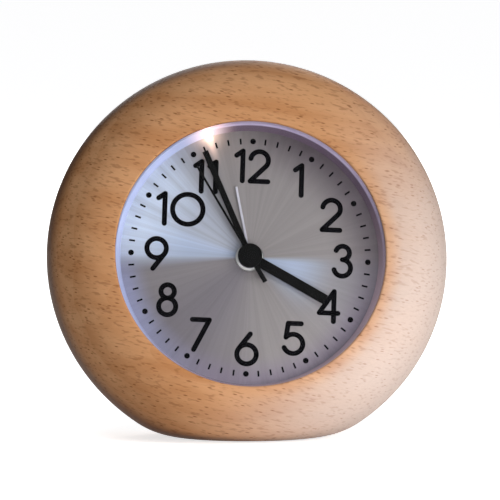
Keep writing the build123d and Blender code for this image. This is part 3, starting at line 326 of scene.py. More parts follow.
def line(start: Point, end: Point, steps: int = 12) -> np.ndarray:
    """Points along a straight stroke."""
    share = np.linspace(0, 1, steps)[:, None]
    return (1 - share) * np.array(start) + share * np.array(end)


def cubic(corners: Sequence[Point], count: int) -> np.ndarray:
    """Cubic from the first corner to the last, drawn towards the two between.

    Each corner is weighed by its own product of powers of t and 1 - t.

    Args:
        corners: the four corners.
        count: number of points.

    Returns:
        The points along the curve.
    """
    t = np.linspace(0, 1, count)[:, None]
    weights = [(1 - t) ** 3, 3 * t * (1 - t) ** 2, 3 * t**2 * (1 - t), t**3]
    return np.concatenate(weights, axis=1) @ np.array(corners)


def ribbon(path: np.ndarray, width: float, base: float, rise: float, ends: int = 7) -> np.ndarray:
    """A flat stroke with round ends: the width follows a half circle beyond each end of the path.

    Args:
        path: x and z of the stroke's middle line.
        width: width of the stroke.
        base: depth of the surface that carries it.
        rise: how far it stands out, negative towards the front.
        ends: rows in each round end.

    Returns:
        A grid of upright points, one row across the stroke for each step along it.
    """
    half = width / 2
    heading = np.gradient(path, axis=0)
    heading /= np.linalg.norm(heading, axis=1, keepdims=True)
    first, last = heading[:1], heading[-1:]
    turn = np.linspace(0, np.pi / 2, ends)[:-1]
    before = path[:1] - first * half * np.cos(turn)[:, None]
    after = (path[-1:] + last * half * np.cos(turn)[:, None])[::-1]
    middle = np.concatenate([before, path, after])
    along = np.concatenate([np.repeat(first, ends - 1, 0), heading, np.repeat(last, ends - 1, 0)])
    spread = np.concatenate([np.sin(turn), np.ones(len(path)), np.sin(turn)[::-1]]) * half
    across = np.stack([-along[:, 1], along[:, 0]], axis=-1)
    shoulder = 0.94
    place = np.array([-1.0, -shoulder, 0.0, shoulder, 1.0])
    level = np.array([0.0, 1.0, 1.0, 1.0, 0.0])
    flat = middle[:, None] + across[:, None] * (spread[:, None] * place[None, :])[..., None]
    depth = base + rise * np.broadcast_to(level[None, :], flat.shape[:2])
    return np.stack([flat[..., 0], depth, flat[..., 1]], axis=-1)


class Wire:
    """A socket that takes part in arithmetic: each operation adds one Math node."""

    def __init__(self, recipe: "Recipe", socket: bpy.types.NodeSocket) -> None:
        """Hold a socket of the recipe's tree."""
        self.recipe = recipe
        self.socket = socket

    def maths(self, operation: str, *others: Union["Wire", Number]) -> "Wire":
        """Apply a Math node to this value and the others."""
        feeds = dict(enumerate((self, *others)))
        return self.recipe.wire("ShaderNodeMath", 0, feeds, {"operation": operation})

    def __add__(self, other: Union["Wire", Number]) -> "Wire":
        """Sum."""
        return self.maths("ADD", other)

    def __mul__(self, other: Union["Wire", Number]) -> "Wire":
        """Product."""
        return self.maths("MULTIPLY", other)

    def __sub__(self, other: Union["Wire", Number]) -> "Wire":
        """Difference."""
        return self.maths("SUBTRACT", other)

    def __rsub__(self, other: Number) -> "Wire":
        """Difference from a number."""
        return self.maths("MULTIPLY", -1.0).maths("ADD", other)

    def __truediv__(self, other: Union["Wire", Number]) -> "Wire":
        """Quotient."""
        return self.maths("DIVIDE", other)

    def __pow__(self, other: Number) -> "Wire":
        """Power."""
        return self.maths("POWER", other)

    def swing(self, base: float, span: float) -> "Wire":
        """This value, mostly from 0 to 1, carried over a span from a base."""
        return self * span + base

    def larger(self, other: "Wire") -> "Wire":
        """The larger of two values."""
        return self.maths("MAXIMUM", other)

    def ramp(self, low: float, high: float, to_low: float = 0.0, to_high: float = 1.0) -> "Wire":
        """Smooth step between two values, held beyond its ends.

        Args:
            low: where the step begins.
            high: where the step ends.
            to_low: value at its beginning.
            to_high: value at its end.

        Returns:
            The stepped value.
        """
        feeds = {0: self, 1: low, 2: high, 3: to_low, 4: to_high}
        settings = {"interpolation_type": "SMOOTHSTEP", "clamp": True}
        return self.recipe.wire("ShaderNodeMapRange", 0, feeds, settings)


Tint = Union[Wire, Colour]
Feeds = dict[Union[int, str], Union[Wire, Number, tuple]]
Settings = dict[str, Union[str, bool]]


class Recipe:
    """The node tree of a material or of the world, built one node at a time."""

    def __init__(self, tree: bpy.types.NodeTree, output: str = "ShaderNodeOutputMaterial") -> None:
        """Empty the tree and start it with its output.

        Args:
            tree: the tree to build.
            output: type of its output node.
        """
        self.tree = tree
        self.tree.nodes.clear()
        self.output = self.node(output)

    def node(self, kind: str, feeds: Feeds | None = None, settings: Settings | None = None) -> bpy.types.Node:
        """Add a node.

        Args:
            kind: the node's type.
            feeds: socket name or number to a Wire or a constant.
            settings: the node's properties.

        Returns:
            The node.
        """
        made = self.tree.nodes.new(kind)
        for key, value in (settings or {}).items():
            setattr(made, key, value)
        for key, value in (feeds or {}).items():
            socket = made.inputs[key]
            if isinstance(value, Wire):
                self.tree.links.new(value.socket, socket)
            elif isinstance(value, tuple) and len(value) == 3 and socket.type == "RGBA":
                socket.default_value = (*value, 1.0)
            else:
                socket.default_value = value
        return made

    def wire(
        self,
        kind: str,
        output: Union[int, str] = 0,
        feeds: Feeds | None = None,
        settings: Settings | None = None,
    ) -> Wire:
        """Add a node and take one of its outputs."""
        return Wire(self, self.node(kind, feeds, settings).outputs[output])

    def place(self) -> Wire:
        """Object coordinates, in metres."""
        return self.wire("ShaderNodeTexCoord", "Object")

    def facing(self) -> Wire:
        """How far the surface turns from the eye, from 0 face on to 1 edge on."""
        return self.wire("ShaderNodeLayerWeight", "Facing", {"Blend": 0.5})

    def dot(self, vector: Wire, direction: Sequence[float]) -> Wire:
        """Part of a vector that lies along a direction."""
        feeds = {0: vector, 1: tuple(direction)}
        return self.wire("ShaderNodeVectorMath", "Value", feeds, {"operation": "DOT_PRODUCT"})

    def mapped(self, scale: Sequence[float], turn: Triple = (0.0, 0.0, 0.0)) -> Wire:
        """Object coordinates turned, then scaled axis by axis."""
        along = self.wire("ShaderNodeMapping", 0, {"Vector": self.place(), "Rotation": turn})
        return self.wire("ShaderNodeMapping", 0, {"Vector": along, "Scale": tuple(scale)})

    def noise(self, vector: Wire, detail: float = 2.0, rough: float = 0.5) -> Wire:
        """Soft noise from 0 to 1."""
        feeds = {"Vector": vector, "Scale": 1.0, "Detail": detail, "Roughness": rough}
        return self.wire("ShaderNodeTexNoise", 0, feeds)

    def cloud(self, scale: float, detail: float = 2.0) -> Wire:
        """Soft noise that is even in all directions."""
        return self.noise(self.mapped((scale,) * 3), detail)

    def cells(self, vector: Wire) -> tuple[Wire, Wire]:
        """Scatter points, one to a cell.

        Args:
            vector: place, scaled so that a cell has the size 1.

        Returns:
            Distance to the nearest point, and a random number for that point.
        """
        made = self.node("ShaderNodeTexVoronoi", {"Vector": vector, "Scale": 1.0}, {"feature": "F1"})
        chance = self.wire("ShaderNodeSeparateColor", 0, {0: Wire(self, made.outputs["Color"])})
        return Wire(self, made.outputs["Distance"]), chance

    def mix(self, share: Wire, first: Tint, second: Tint) -> Wire:
        """Blend two colours."""
        return self.wire("ShaderNodeMix", 2, {0: share, 6: first, 7: second}, {"data_type": "RGBA"})

    def times(self, first: Tint, second: Tint) -> Wire:
        """Multiply two colours."""
        settings = {"data_type": "RGBA", "blend_type": "MULTIPLY"}
        return self.wire("ShaderNodeMix", 2, {0: 1.0, 6: first, 7: second}, settings)

    def bump(self, height: Wire, strength: float, distance: float) -> Wire:
        """Normal of a relief of the given depth in metres."""
        feeds = {"Height": height, "Strength": strength, "Distance": distance}
        return self.wire("ShaderNodeBump", 0, feeds)

    def finish(self, shader: Wire) -> None:
        """Join the last shader to the output."""
        self.tree.links.new(shader.socket, self.output.inputs[0])

    def principled(self, feeds: Feeds) -> None:
        """Finish with one Principled shader."""
        self.finish(self.wire("ShaderNodeBsdfPrincipled", 0, feeds))


def new_material(name: str) -> tuple[bpy.types.Material, Recipe]:
    """Start a material.

    Args:
        name: name of the material.

    Returns:
        The material and its empty recipe.
    """
    material = bpy.data.materials.new(name)
    material.use_nodes = True
    return material, Recipe(material.node_tree)


def scaled(colour: Colour, factor: float, lift: float = 0.0) -> Colour:
    """A colour made darker or lighter, never past full."""
    return tuple(min(1.0, value * factor + lift) for value in colour)


@dataclass(frozen=True)
class DialPlace:
    """Where a point lies on the dial: metres across and up, radius in millimetres, angle as on a clock."""

    across: Wire
    height: Wire
    reach: Wire
    clock: Wire

    @classmethod
    def of(cls, recipe: Recipe) -> "DialPlace":
        """Work out the place of the shaded point.

        Args:
            recipe: the recipe that needs it.

        Returns:
            The place, its angle running from 0 to 360 degrees.
        """
        place = recipe.place()
        direction, offset = STANCE.upright_height()
        height = recipe.dot(place, direction) + offset
        across = recipe.dot(place, (1, 0, 0))
        reach = (height * height + across * across).maths("SQRT") * MM
        degrees = across.maths("ARCTAN2", height) * (180 / math.pi)
        return cls(across, height, reach, (degrees + 360.0).maths("MODULO", 360.0))

    def noon(self) -> Wire:
        """Angle counted from 20 degrees before noon, so that a tone runs past 12 o'clock without a jump."""
        return (self.clock + 20.0).maths("MODULO", 360.0)


@dataclass(frozen=True)
class Sector:
    """A sector of the dial: its tone rises between two angles and fades between two later ones."""

    rise: Point
    fade: Point
    left: float = 0.0

    def share(self, angle: Wire) -> Wire:
        """Share of the tone at an angle: a smooth rise times a smooth fade to what is left."""
        return angle.ramp(*self.rise) * angle.ramp(*self.fade, 1.0, self.left)


@dataclass(frozen=True)
class Beech:
    """Oiled beech: even streaks, faint growth layers, fine fibres and short dark flecks along the grain, with
    a painted highlight at the lower right and painted shade at its edges.
    """

    name: str = "beech"
    pale: Colour = (0.62, 0.330, 0.160)
    warm: Colour = (0.49, 0.225, 0.092)
    # painted highlight: a pale pinkish sheen standing in for the lamp's glare on the lower right
    sap: Colour = (0.56, 0.460, 0.407)
    fleck: Colour = (0.22, 0.082, 0.030)
    # painted shade: colour of the dark edge where the wood turns from the eye
    edge: Colour = (0.085, 0.036, 0.018)
    fine_dark: Colour = (0.90, 0.89, 0.88)
    fine_light: Colour = (1.08, 1.08, 1.08)
    slope: float = 12.0
    streaks: Triple = (24, 160, 190)
    streak_noise: Point = (3.0, 0.55)
    fibres: Triple = (160, 2600, 2600)
    fibre_noise: Point = (2.0, 0.6)
    fine_span: float = 0.9
    fleck_length: float = 2.9
    fleck_spacing: float = 0.8
    fleck_back: float = 1.8
    fleck_size: Point = (0.08, 0.27)
    fleck_chance: Point = (0.08, 0.5)
    dash_finer: Triple = (1.3, 2.2, 1.5)
    dash_detail: float = 1.5
    dash_span: Point = (0.54, 0.70)
    dash_share: float = 0.5
    fleck_share: float = 0.84
    fleck_in_sap: float = 0.46
    layer: float = 4.6
    layer_wave: float = 2.4
    layer_waves: Triple = (14, 20, 34)
    late_wood: Point = (0.5, 1.0)
    late_share: float = -0.09
    tone_span: Point = (0.22, 0.70)
    # where the painted highlight lies: heading, wavering border, depth and how little of it reaches the
    # opening
    sap_heading: Triple = (0.90, 0.0, -0.44)
    sap_border: Point = (-23.0, 27.0)
    sap_waver: float = 22.0
    sap_waves: Triple = (20, 60, 60)
    sap_depth: Point = (-8.0, 8.0)
    sap_behind: float = 0.25
    sap_reach: Point = (OPENING, 36.5)
    sap_inside: float = 0.3
    # where the painted edge shade falls and how strong it is
    edge_left: Point = (-0.02, 0.025)
    edge_broad: Point = (0.40, 0.80)
    edge_thin: Point = (0.68, 0.95)
    thin_share: float = 0.75
    edge_share: float = 0.9
    rough: Point = (0.46, 0.12)
    rough_fleck: float = 0.1
    relief: Point = (0.25, 0.00006)
    relief_fibre: float = 0.5
    sheen: float = 0.06

    @property
    def turn(self) -> Triple:
        """Rotation that lays a pattern along the sloping grain."""
        return (0.0, math.radians(-self.slope), 0.0)

    def depth(self, recipe: Recipe) -> Wire:
        """Millimetres along the dial's axis, counted backwards from the origin."""
        return recipe.dot(recipe.place(), (0, STANCE.cosine, -STANCE.sine)) * MM

    def layers(self, recipe: Recipe) -> Wire:
        """Dark late wood of each growth layer, as the wavy layers stand one behind the other."""
        wave = recipe.noise(recipe.mapped(self.layer_waves)) * self.layer_wave
        return (self.depth(recipe) / self.layer + wave).maths("FRACT").ramp(*self.late_wood)

    def sapwood(self, recipe: Recipe) -> Wire:
        """Painted highlight: a pale sheen at the lower right in front, with a wavering border and less of it
        by the opening.

        Args:
            recipe: the wood's recipe.

        Returns:
            Share of the painted highlight.
        """
        across = recipe.dot(recipe.place(), self.sap_heading) * MM
        waver = (recipe.noise(recipe.mapped(self.sap_waves)) - 0.5) * self.sap_waver
        front = self.depth(recipe).ramp(*self.sap_depth, 1.0, self.sap_behind)
        outside = DialPlace.of(recipe).reach.ramp(*self.sap_reach, self.sap_inside, 1.0)
        return (across + waver).ramp(*self.sap_border) * front * outside

    def flecks(self, recipe: Recipe) -> Wire:
        """Short ray flecks: scattered thin plates over finer broken ones, dashes from the front and sides.

        Args:
            recipe: the wood's recipe.

        Returns:
            Share of dark fleck.
        """
        along, across = MM / self.fleck_length, MM / self.fleck_spacing
        gap, chance = recipe.cells(recipe.mapped((along, along * self.fleck_back, across), self.turn))
        pores = gap.ramp(*self.fleck_size, 1.0, 0.0) * chance.ramp(*self.fleck_chance)
        longer, back, finer = self.dash_finer
        broken = recipe.mapped((along * longer, along * back, across * finer), self.turn)
        dashes = recipe.noise(broken, self.dash_detail)
        return pores.larger(dashes.ramp(*self.dash_span) * self.dash_share)

    def shade(self, recipe: Recipe) -> Wire:
        """Painted shade: a dark edge where the wood turns from the eye, broad on the left and a thin line
        elsewhere.

        Args:
            recipe: the wood's recipe.

        Returns:
            Share of the painted edge shade.
        """
        facing = recipe.facing()
        left = DialPlace.of(recipe).across.ramp(*self.edge_left, 1.0, 0.0)
        return (facing.ramp(*self.edge_broad) * left).larger(facing.ramp(*self.edge_thin) * self.thin_share)

    def material(self) -> bpy.types.Material:
        """Build the wood.

        Returns:
            The material.
        """
        material, recipe = new_material(self.name)
        streak = recipe.noise(recipe.mapped(self.streaks, self.turn), *self.streak_noise)
        fibre = recipe.noise(recipe.mapped(self.fibres, self.turn), *self.fibre_noise)
        tone = (streak + self.layers(recipe) * self.late_share).ramp(*self.tone_span)
        fine = recipe.mix((fibre - 0.5).swing(0.5, self.fine_span), self.fine_dark, self.fine_light)
        marks, sap = self.flecks(recipe), self.sapwood(recipe)
        heart = recipe.mix(tone, self.warm, self.pale)
        # the painted highlight pales the wood and weakens its flecks and the painted edge shade
        wood = recipe.times(recipe.mix(sap, heart, self.sap), fine)
        flecked = recipe.mix(marks * (self.fleck_share - sap * self.fleck_in_sap), wood, self.fleck)
        # painted edge shade, held off where the painted highlight lies
        shade = self.shade(recipe) * (self.edge_share - sap * self.edge_share)
        recipe.principled(
            {
                "Base Color": recipe.mix(shade, flecked, self.edge),
                "Roughness": fibre.swing(*self.rough) + marks * self.rough_fleck,
                "Normal": recipe.bump(fibre * self.relief_fibre - marks, *self.relief),
                "Specular IOR Level": self.sheen,
            }
        )
        return material


@dataclass(frozen=True)
class NightGlow:
    """Painted light: the warm glow that the lit night light throws on what stands round it, drawn as
    emission.
    """

    warm: Colour = (1.0, 0.64, 0.52)
    dark: Colour = (0.0, 0.0, 0.0)
    angle: float = 107.5
    circle: float = 31.6
    spread: float = 7.3
    beam_end: float = 23.0
    beam_side: Point = (0.1, 1.3)
    halo_share: float = 0.8

    def colour(self, recipe: Recipe, at: DialPlace) -> Wire:
        """Emission colour of the painted glow: a round halo about the lamp, and a narrow beam from it towards
        the hub.

        Args:
            recipe: recipe of the lit piece.
            at: place of the shaded point.

        Returns:
            The colour of the glow.
        """
        turn = math.radians(self.angle)
        along = (at.across * math.cos(turn) + at.height * math.sin(turn)) * MM
        side = (at.height * math.cos(turn) - at.across * math.sin(turn)) * MM
        off = along - self.circle
        halo = (off * off + side * side).maths("SQRT").ramp(0.0, self.spread, 1.0, 0.0) ** 2.0
        beam = along.ramp(self.beam_end, self.circle) * side.maths("ABSOLUTE").ramp(*self.beam_side, 1.0, 0.0)
        return recipe.mix((halo * self.halo_share + beam).maths("MINIMUM", 1.0), self.dark, self.warm)


@dataclass(frozen=True)
class SpunDial:
    """Silver dial brushed in rays from its centre, with painted light: two cool fans of painted reflection,
    painted shade below on the left and towards the rim on the right, and a purple painted shade and a bluish
    painted reflection near the rim.
    """

    name: str = "dial_silver"
    grey: Colour = (0.289, 0.267, 0.259)
    # painted reflection colours: the two cool fans, their silver far side and their light part near the rim
    # on the left
    fan: Colour = (0.466, 0.563, 0.739)
    silver: Colour = (0.466, 0.510, 0.598)
    bright: Colour = (0.730, 0.840, 1.0)
    # painted shade colours
    deep: Colour = (0.189, 0.172, 0.189)
    dusk: Colour = (0.114, 0.091, 0.107)
    # a bluish painted reflection and a purple painted shade near the rim
    lilac: Colour = (0.334, 0.350, 0.510)
    plum: Colour = (0.238, 0.198, 0.268)
    ray_dark: Colour = (0.91, 0.91, 0.91)
    ray_light: Colour = (1.09, 1.09, 1.09)
    # where the painted reflections and painted shade lie round the dial, read as on a clock
    left_fan: Sector = Sector((261, 276), (310, 348))
    left_silver: Point = (280, 300)
    right_fan: Sector = Sector((88, 98), (104, 150))
    low_shade: Sector = Sector((165, 215), (225, 262), 0.55)
    low_end: Point = (262, 276)
    far_shade: Sector = Sector((6, 50), (80, 175))
    foot_tint: Sector = Sector((80, 130), (190, 235))
    rim_tint: Sector = Sector((190, 248), (258, 278))
    right_reach: Point = (9, 21)
    right_rim: float = 0.12
    far_reach: Point = (18, 30)
    foot_reach: Point = (23, 30)
    rim_reach: Point = (24, 30)
    bright_reach: Point = (13, 30)
    sheen_reach: Point = (6, 18)
    sheen: Point = (0.76, 0.92)
    sheen_rays: float = 0.6
    low_share: float = 0.9
    far_share: float = 0.85
    foot_share: float = 0.7
    rim_share: float = 0.8
    rays: float = 84.0
    ray_noise: Point = (4.0, 0.7)
    ray_span: Point = (0.25, 0.75)
    metal: float = 0.25
    rough: Point = (0.36, 0.15)
    relief: Point = (0.10, 0.00005)
    glow: float = 0.75
    night: NightGlow = NightGlow()

    def brushing(self, recipe: Recipe, at: DialPlace) -> Wire:
        """Fine rays: noise on a circle, so that it changes with the angle alone.

        Args:
            recipe: the dial's recipe.
            at: place of the shaded point.

        Returns:
            Noise from 0 to 1.
        """
        turn = MM * self.rays / (2 * math.pi)
        feeds = {0: at.across / at.reach * turn, 1: at.height / at.reach * turn}
        return recipe.noise(recipe.wire("ShaderNodeCombineXYZ", 0, feeds), *self.ray_noise)

    def tone(self, recipe: Recipe, at: DialPlace, rays: Wire) -> Wire:
        """Painted reflections and painted shade that follow the angle round the dial, read as on a clock, and
        the distance from the hub.

        Args:
            recipe: the dial's recipe.
            at: place of the shaded point.
            rays: the brushing.

        Returns:
            The colour before the rays are laid over it.
        """
        left = self.left_fan.share(at.clock)
        right = self.right_fan.share(at.clock) * at.reach.ramp(*self.right_reach, 1.0, self.right_rim)
        low = self.low_shade.share(at.clock) * at.clock.ramp(*self.low_end, 1.0, 0.0)
        far = self.far_shade.share(at.noon()) * at.reach.ramp(*self.far_reach)
        foot = self.foot_tint.share(at.clock) * at.reach.ramp(*self.foot_reach)
        rim = self.rim_tint.share(at.clock) * at.reach.ramp(*self.rim_reach)
        # painted reflections: two cool fans, paler towards the rim on the left
        fan = recipe.mix(at.clock.ramp(*self.left_silver), self.fan, self.silver)
        fan = recipe.mix(left * at.reach.ramp(*self.bright_reach), fan, self.bright)
        sheen = at.reach.ramp(*self.sheen_reach, *self.sheen) + (rays - 0.5) * self.sheen_rays
        lit = recipe.mix((left + right) * sheen, self.grey, fan)
        # painted shade laid over the reflections: below on the left, towards the rim on the right and purple
        # towards the rim below
        shaded = recipe.mix(low * self.low_share, lit, self.deep)
        shaded = recipe.mix(far * self.far_share, shaded, self.dusk)
        shaded = recipe.mix(foot * self.foot_share, shaded, self.plum)
        return recipe.mix(rim * self.rim_share, shaded, self.lilac)

    def material(self) -> bpy.types.Material:
        """Build the brushed silver.

        Returns:
            The material.
        """
        material, recipe = new_material(self.name)
        at = DialPlace.of(recipe)
        rays = self.brushing(recipe, at)
        brushed = recipe.mix(rays.ramp(*self.ray_span), self.ray_dark, self.ray_light)
        recipe.principled(
            {
                "Base Color": recipe.times(self.tone(recipe, at, rays), brushed),
                "Metallic": self.metal,
                "Roughness": rays.swing(*self.rough),
                "Normal": recipe.bump(rays, *self.relief),
                "Emission Color": self.night.colour(recipe, at),
                "Emission Strength": self.glow,
            }
        )
        return material


@dataclass(frozen=True)
class SilverRing:
    """Glossy ring round the dial with painted light: a pale blue painted reflection at the left, painted
    dusky shade above on the right, a pinkish painted reflection below it and a light painted line along its
    outer edge at the top.
    """

    name: str = "ring_silver"
    # painted light: a pale blue reflection at the left, dusky shade above on the right, a pinkish reflection
    # below and a light line at the outer edge
    pale: Colour = (0.46, 0.53, 0.80)
    dusk: Colour = (0.15, 0.105, 0.155)
    rose: Colour = (0.64, 0.48, 0.53)
    edge: Colour = (0.62, 0.54, 0.76)
    pale_side: Sector = Sector((195, 250), (338, 354))
    rose_side: Sector = Sector((78, 138), (170, 220), 0.5)
    edge_reach: Point = (31.3, 31.5)
    edge_end: Point = (60, 130)
    edge_share: float = 0.9
    clouds: float = 120.0
    pale_share: Point = (0.85, 0.2)
    rough: Point = (0.18, 0.1)
    coat: float = 0.5
    coat_rough: float = 0.1
    glow: float = 1.2
    night: NightGlow = NightGlow(spread=9.0)

    def material(self) -> bpy.types.Material:
        """Build the ring.

        Returns:
            The material.
        """
        material, recipe = new_material(self.name)
        at = DialPlace.of(recipe)
        noon = at.noon()
        cloud = recipe.cloud(self.clouds)
        # painted dusky shade above on the right turns to a pinkish painted reflection below, and a pale
        # painted reflection lies at the left
        below = recipe.mix(self.rose_side.share(noon), self.dusk, self.rose)
        side = self.pale_side.share(at.clock) * cloud.swing(*self.pale_share)
        tone = recipe.mix(side, below, self.pale)
        # a light painted line along the outer edge at the top
        outer = at.reach.ramp(*self.edge_reach) * noon.ramp(*self.edge_end, self.edge_share, 0.0)
        recipe.principled(
            {
                "Base Color": recipe.mix(outer, tone, self.edge),
                "Roughness": cloud.swing(*self.rough),
                "Coat Weight": self.coat,
                "Coat Roughness": self.coat_rough,
                "Emission Color": self.night.colour(recipe, at),
                "Emission Strength": self.glow,
            }
        )
        return material


@dataclass(frozen=True)
class Moulded:
    """Moulded plastic or lacquer: slight cloudiness of colour over a fine pebbled or satin skin.

    The pebble is the grain's size in millimetres, the depth its relief in metres.
    """

    name: str
    colour: Colour
    roughness: float = 0.5
    pebble: float = 0.25
    depth: float = 0.00002
    coat: float = 0.0
    sheen: float = 0.5
    dark: float = 0.86
    light: Point = (1.12, 0.001)
    clouds: Point = (90, 3.0)
    cloud_span: Point = (0.3, 0.7)
    unevenness: float = 0.14
    relief: float = 0.35
    coat_rough: float = 0.12

    def material(self) -> bpy.types.Material:
        """Build the plastic.

        Returns:
            The material.
        """
        material, recipe = new_material(self.name)
        cloud = recipe.cloud(*self.clouds)
        grain = recipe.cloud(MM / self.pebble, 1.0)
        low, high = scaled(self.colour, self.dark), scaled(self.colour, *self.light)
        recipe.principled(
            {
                "Base Color": recipe.mix(cloud.ramp(*self.cloud_span), low, high),
                "Roughness": (cloud - 0.5).swing(self.roughness, self.unevenness),
                "Normal": recipe.bump(grain, self.relief, self.depth),
                "Specular IOR Level": self.sheen,
                "Coat Weight": self.coat,
                "Coat Roughness": self.coat_rough,
            }
        )
        return material


@dataclass(frozen=True)
class Plated:
    """Plated or drawn metal with fine scratches along one direction."""

    name: str
    colour: Colour
    roughness: float = 0.3
    stretch: Triple = (200.0, 4000.0, 4000.0)
    scratch_noise: Point = (3.0, 0.6)
    scratch_share: float = 0.6
    clouds: float = 150.0
    cloud_share: float = 0.4
    wear: Point = (0.3, 0.7)
    worn: float = 0.8
    unevenness: float = 0.2
    relief: Point = (0.12, 0.00002)

    def material(self) -> bpy.types.Material:
        """Build the metal.

        Returns:
            The material.
        """
        material, recipe = new_material(self.name)
        brush = recipe.noise(recipe.mapped(self.stretch), *self.scratch_noise)
        marks = brush * self.scratch_share + recipe.cloud(self.clouds) * self.cloud_share
        recipe.principled(
            {
                "Base Color": recipe.mix(marks.ramp(*self.wear), scaled(self.colour, self.worn), self.colour),
                "Metallic": 1.0,
                "Roughness": brush.swing(self.roughness - self.unevenness / 2, self.unevenness),
                "Normal": recipe.bump(brush, *self.relief),
            }
        )
        return material


@dataclass(frozen=True)
class Pane:
    """Clear lens: what is behind shows through, with a thin gloss that grows towards grazing."""

    name: str = "lens"
    tint: Colour = (0.985, 0.99, 1.0)
    white: Colour = (1.0, 1.0, 1.0)
    gloss: float = 0.3
    least_gloss: float = 0.003
    steepness: float = 5.0
    clouds: float = 300.0
    haze: Point = (0.02, 0.02)

    def material(self) -> bpy.types.Material:
        """Build the clear lens: the gloss rises with a high power of the turn from the eye.

        Returns:
            The material.
        """
        material, recipe = new_material(self.name)
        haze = recipe.cloud(self.clouds).swing(*self.haze)
        share = (recipe.facing() ** self.steepness).swing(self.least_gloss, self.gloss)
        clear = recipe.wire("ShaderNodeBsdfTransparent", 0, {"Color": self.tint})
        shine = recipe.wire("ShaderNodeBsdfGlossy", 0, {"Color": self.white, "Roughness": haze})
        recipe.finish(recipe.wire("ShaderNodeMixShader", 0, {0: share, 1: clear, 2: shine}))
        return material


@dataclass(frozen=True)
class LitLamp:
    """Clear night light that is switched on: a warm white with slight clouds."""

    name: str = "light"
    glass: Colour = (1.0, 0.95, 0.88)
    amber: Colour = (1.0, 0.60, 0.36)
    straw: Colour = (1.0, 0.74, 0.52)
    clouds: Point = (900, 1.0)
    cloud_span: Point = (0.35, 0.65)
    rough: float = 0.15
    strength: float = 70.0

    def material(self) -> bpy.types.Material:
        """Build the lit lamp.

        Returns:
            The material.
        """
        material, recipe = new_material(self.name)
        glow = recipe.mix(recipe.cloud(*self.clouds).ramp(*self.cloud_span), self.amber, self.straw)
        recipe.principled(
            {
                "Base Color": self.glass,
                "Roughness": self.rough,
                "Emission Color": glow,
                "Emission Strength": self.strength,
            }
        )
        return material


@dataclass(frozen=True)
class CellWrap:
    """Plain printed sleeve of a dry cell, with a pale band and bare metal at both ends, in metres."""

    name: str = "cell"
    sleeve: Colour = (0.06, 0.16, 0.13)
    band: Colour = (0.62, 0.62, 0.58)
    worn: Colour = (0.3, 0.3, 0.3)
    metal: Colour = (0.66, 0.66, 0.68)
    low: float = -0.0228
    high: float = 0.0247
    cut: float = 0.0001
    band_edge: Point = (0.0155, 0.0157)
    clouds: Triple = (120, 300, 300)
    worn_span: Point = (0.45, 0.75)
    worn_share: float = 0.15
    dullness: float = 0.75
    rough: Point = (0.24, 0.12)

    def material(self) -> bpy.types.Material:
        """Build the sleeve and its bare ends.

        Returns:
            The material.
        """
        material, recipe = new_material(self.name)
        across = recipe.dot(recipe.place(), (1, 0, 0))
        end = across.ramp(self.high, self.high + self.cut, 1.0, 0.0)
        sleeve = across.ramp(self.low, self.low + self.cut) * end
        cloud = recipe.noise(recipe.mapped(self.clouds))
        printed = recipe.mix(across.ramp(*self.band_edge) * sleeve, self.sleeve, self.band)
        worn = recipe.mix(cloud.ramp(*self.worn_span) * self.worn_share, printed, self.worn)
        recipe.principled(
            {
                "Base Color": recipe.mix(sleeve, self.metal, worn),
                "Metallic": 1.0 - sleeve * self.dullness,
                "Roughness": cloud.swing(*self.rough),
            }
        )
        return material


@dataclass(frozen=True)
class Turns:
    """Fine enamelled copper wire wound side by side."""

    name: str = "copper"
    colour: Colour = (0.62, 0.27, 0.10)
    wire: float = 0.12
    # painted shade: how much darker the wire is down between the turns
    groove: float = 0.55
    metal: float = 0.9
    rough: Point = (0.45, -0.15)
    relief: Point = (0.5, 0.00004)

    def material(self) -> bpy.types.Material:
        """Build the winding: a sine ripple along the bobbin, one wave to a wire, with painted shade down
        between the wires.

        Returns:
            The material.
        """
        material, recipe = new_material(self.name)
        slant = math.sqrt(0.5)
        bobbin = (slant, STANCE.sine * slant, STANCE.cosine * slant)
        waves = recipe.dot(recipe.place(), bobbin) * (2 * math.pi * MM / self.wire)
        ripple = waves.maths("SINE").swing(0.5, 0.5)
        recipe.principled(
            {
                "Base Color": recipe.mix(ripple, scaled(self.colour, self.groove), self.colour),
                "Metallic": self.metal,
                "Roughness": ripple.swing(*self.rough),
                "Normal": recipe.bump(ripple, *self.relief),
            }
        )
        return material


@dataclass(frozen=True)
class SolderMask:
    """Green circuit board with paler copper tracks below its lacquer."""

    name: str = "board_green"
    ground: Colour = (0.03, 0.16, 0.07)
    track: Colour = (0.06, 0.26, 0.12)
    pattern: Triple = (420, 420, 420)
    track_edge: Point = (0.42, 0.47)
    rough: Point = (0.34, -0.08)
    relief: Point = (0.3, 0.00003)
    coat: float = 0.4

    def material(self) -> bpy.types.Material:
        """Build the lacquered board.

        Returns:
            The material.
        """
        material, recipe = new_material(self.name)
        feeds = {"Vector": recipe.mapped(self.pattern), "Scale": 1.0}
        settings = {"feature": "F1", "distance": "CHEBYCHEV"}
        cells = recipe.wire("ShaderNodeTexVoronoi", "Distance", feeds, settings)
        tracks = cells.ramp(*self.track_edge)
        recipe.principled(
            {
                "Base Color": recipe.mix(tracks, self.ground, self.track),
                "Roughness": tracks.swing(*self.rough),
                "Normal": recipe.bump(tracks, *self.relief),
                "Coat Weight": self.coat,
            }
        )
        return material


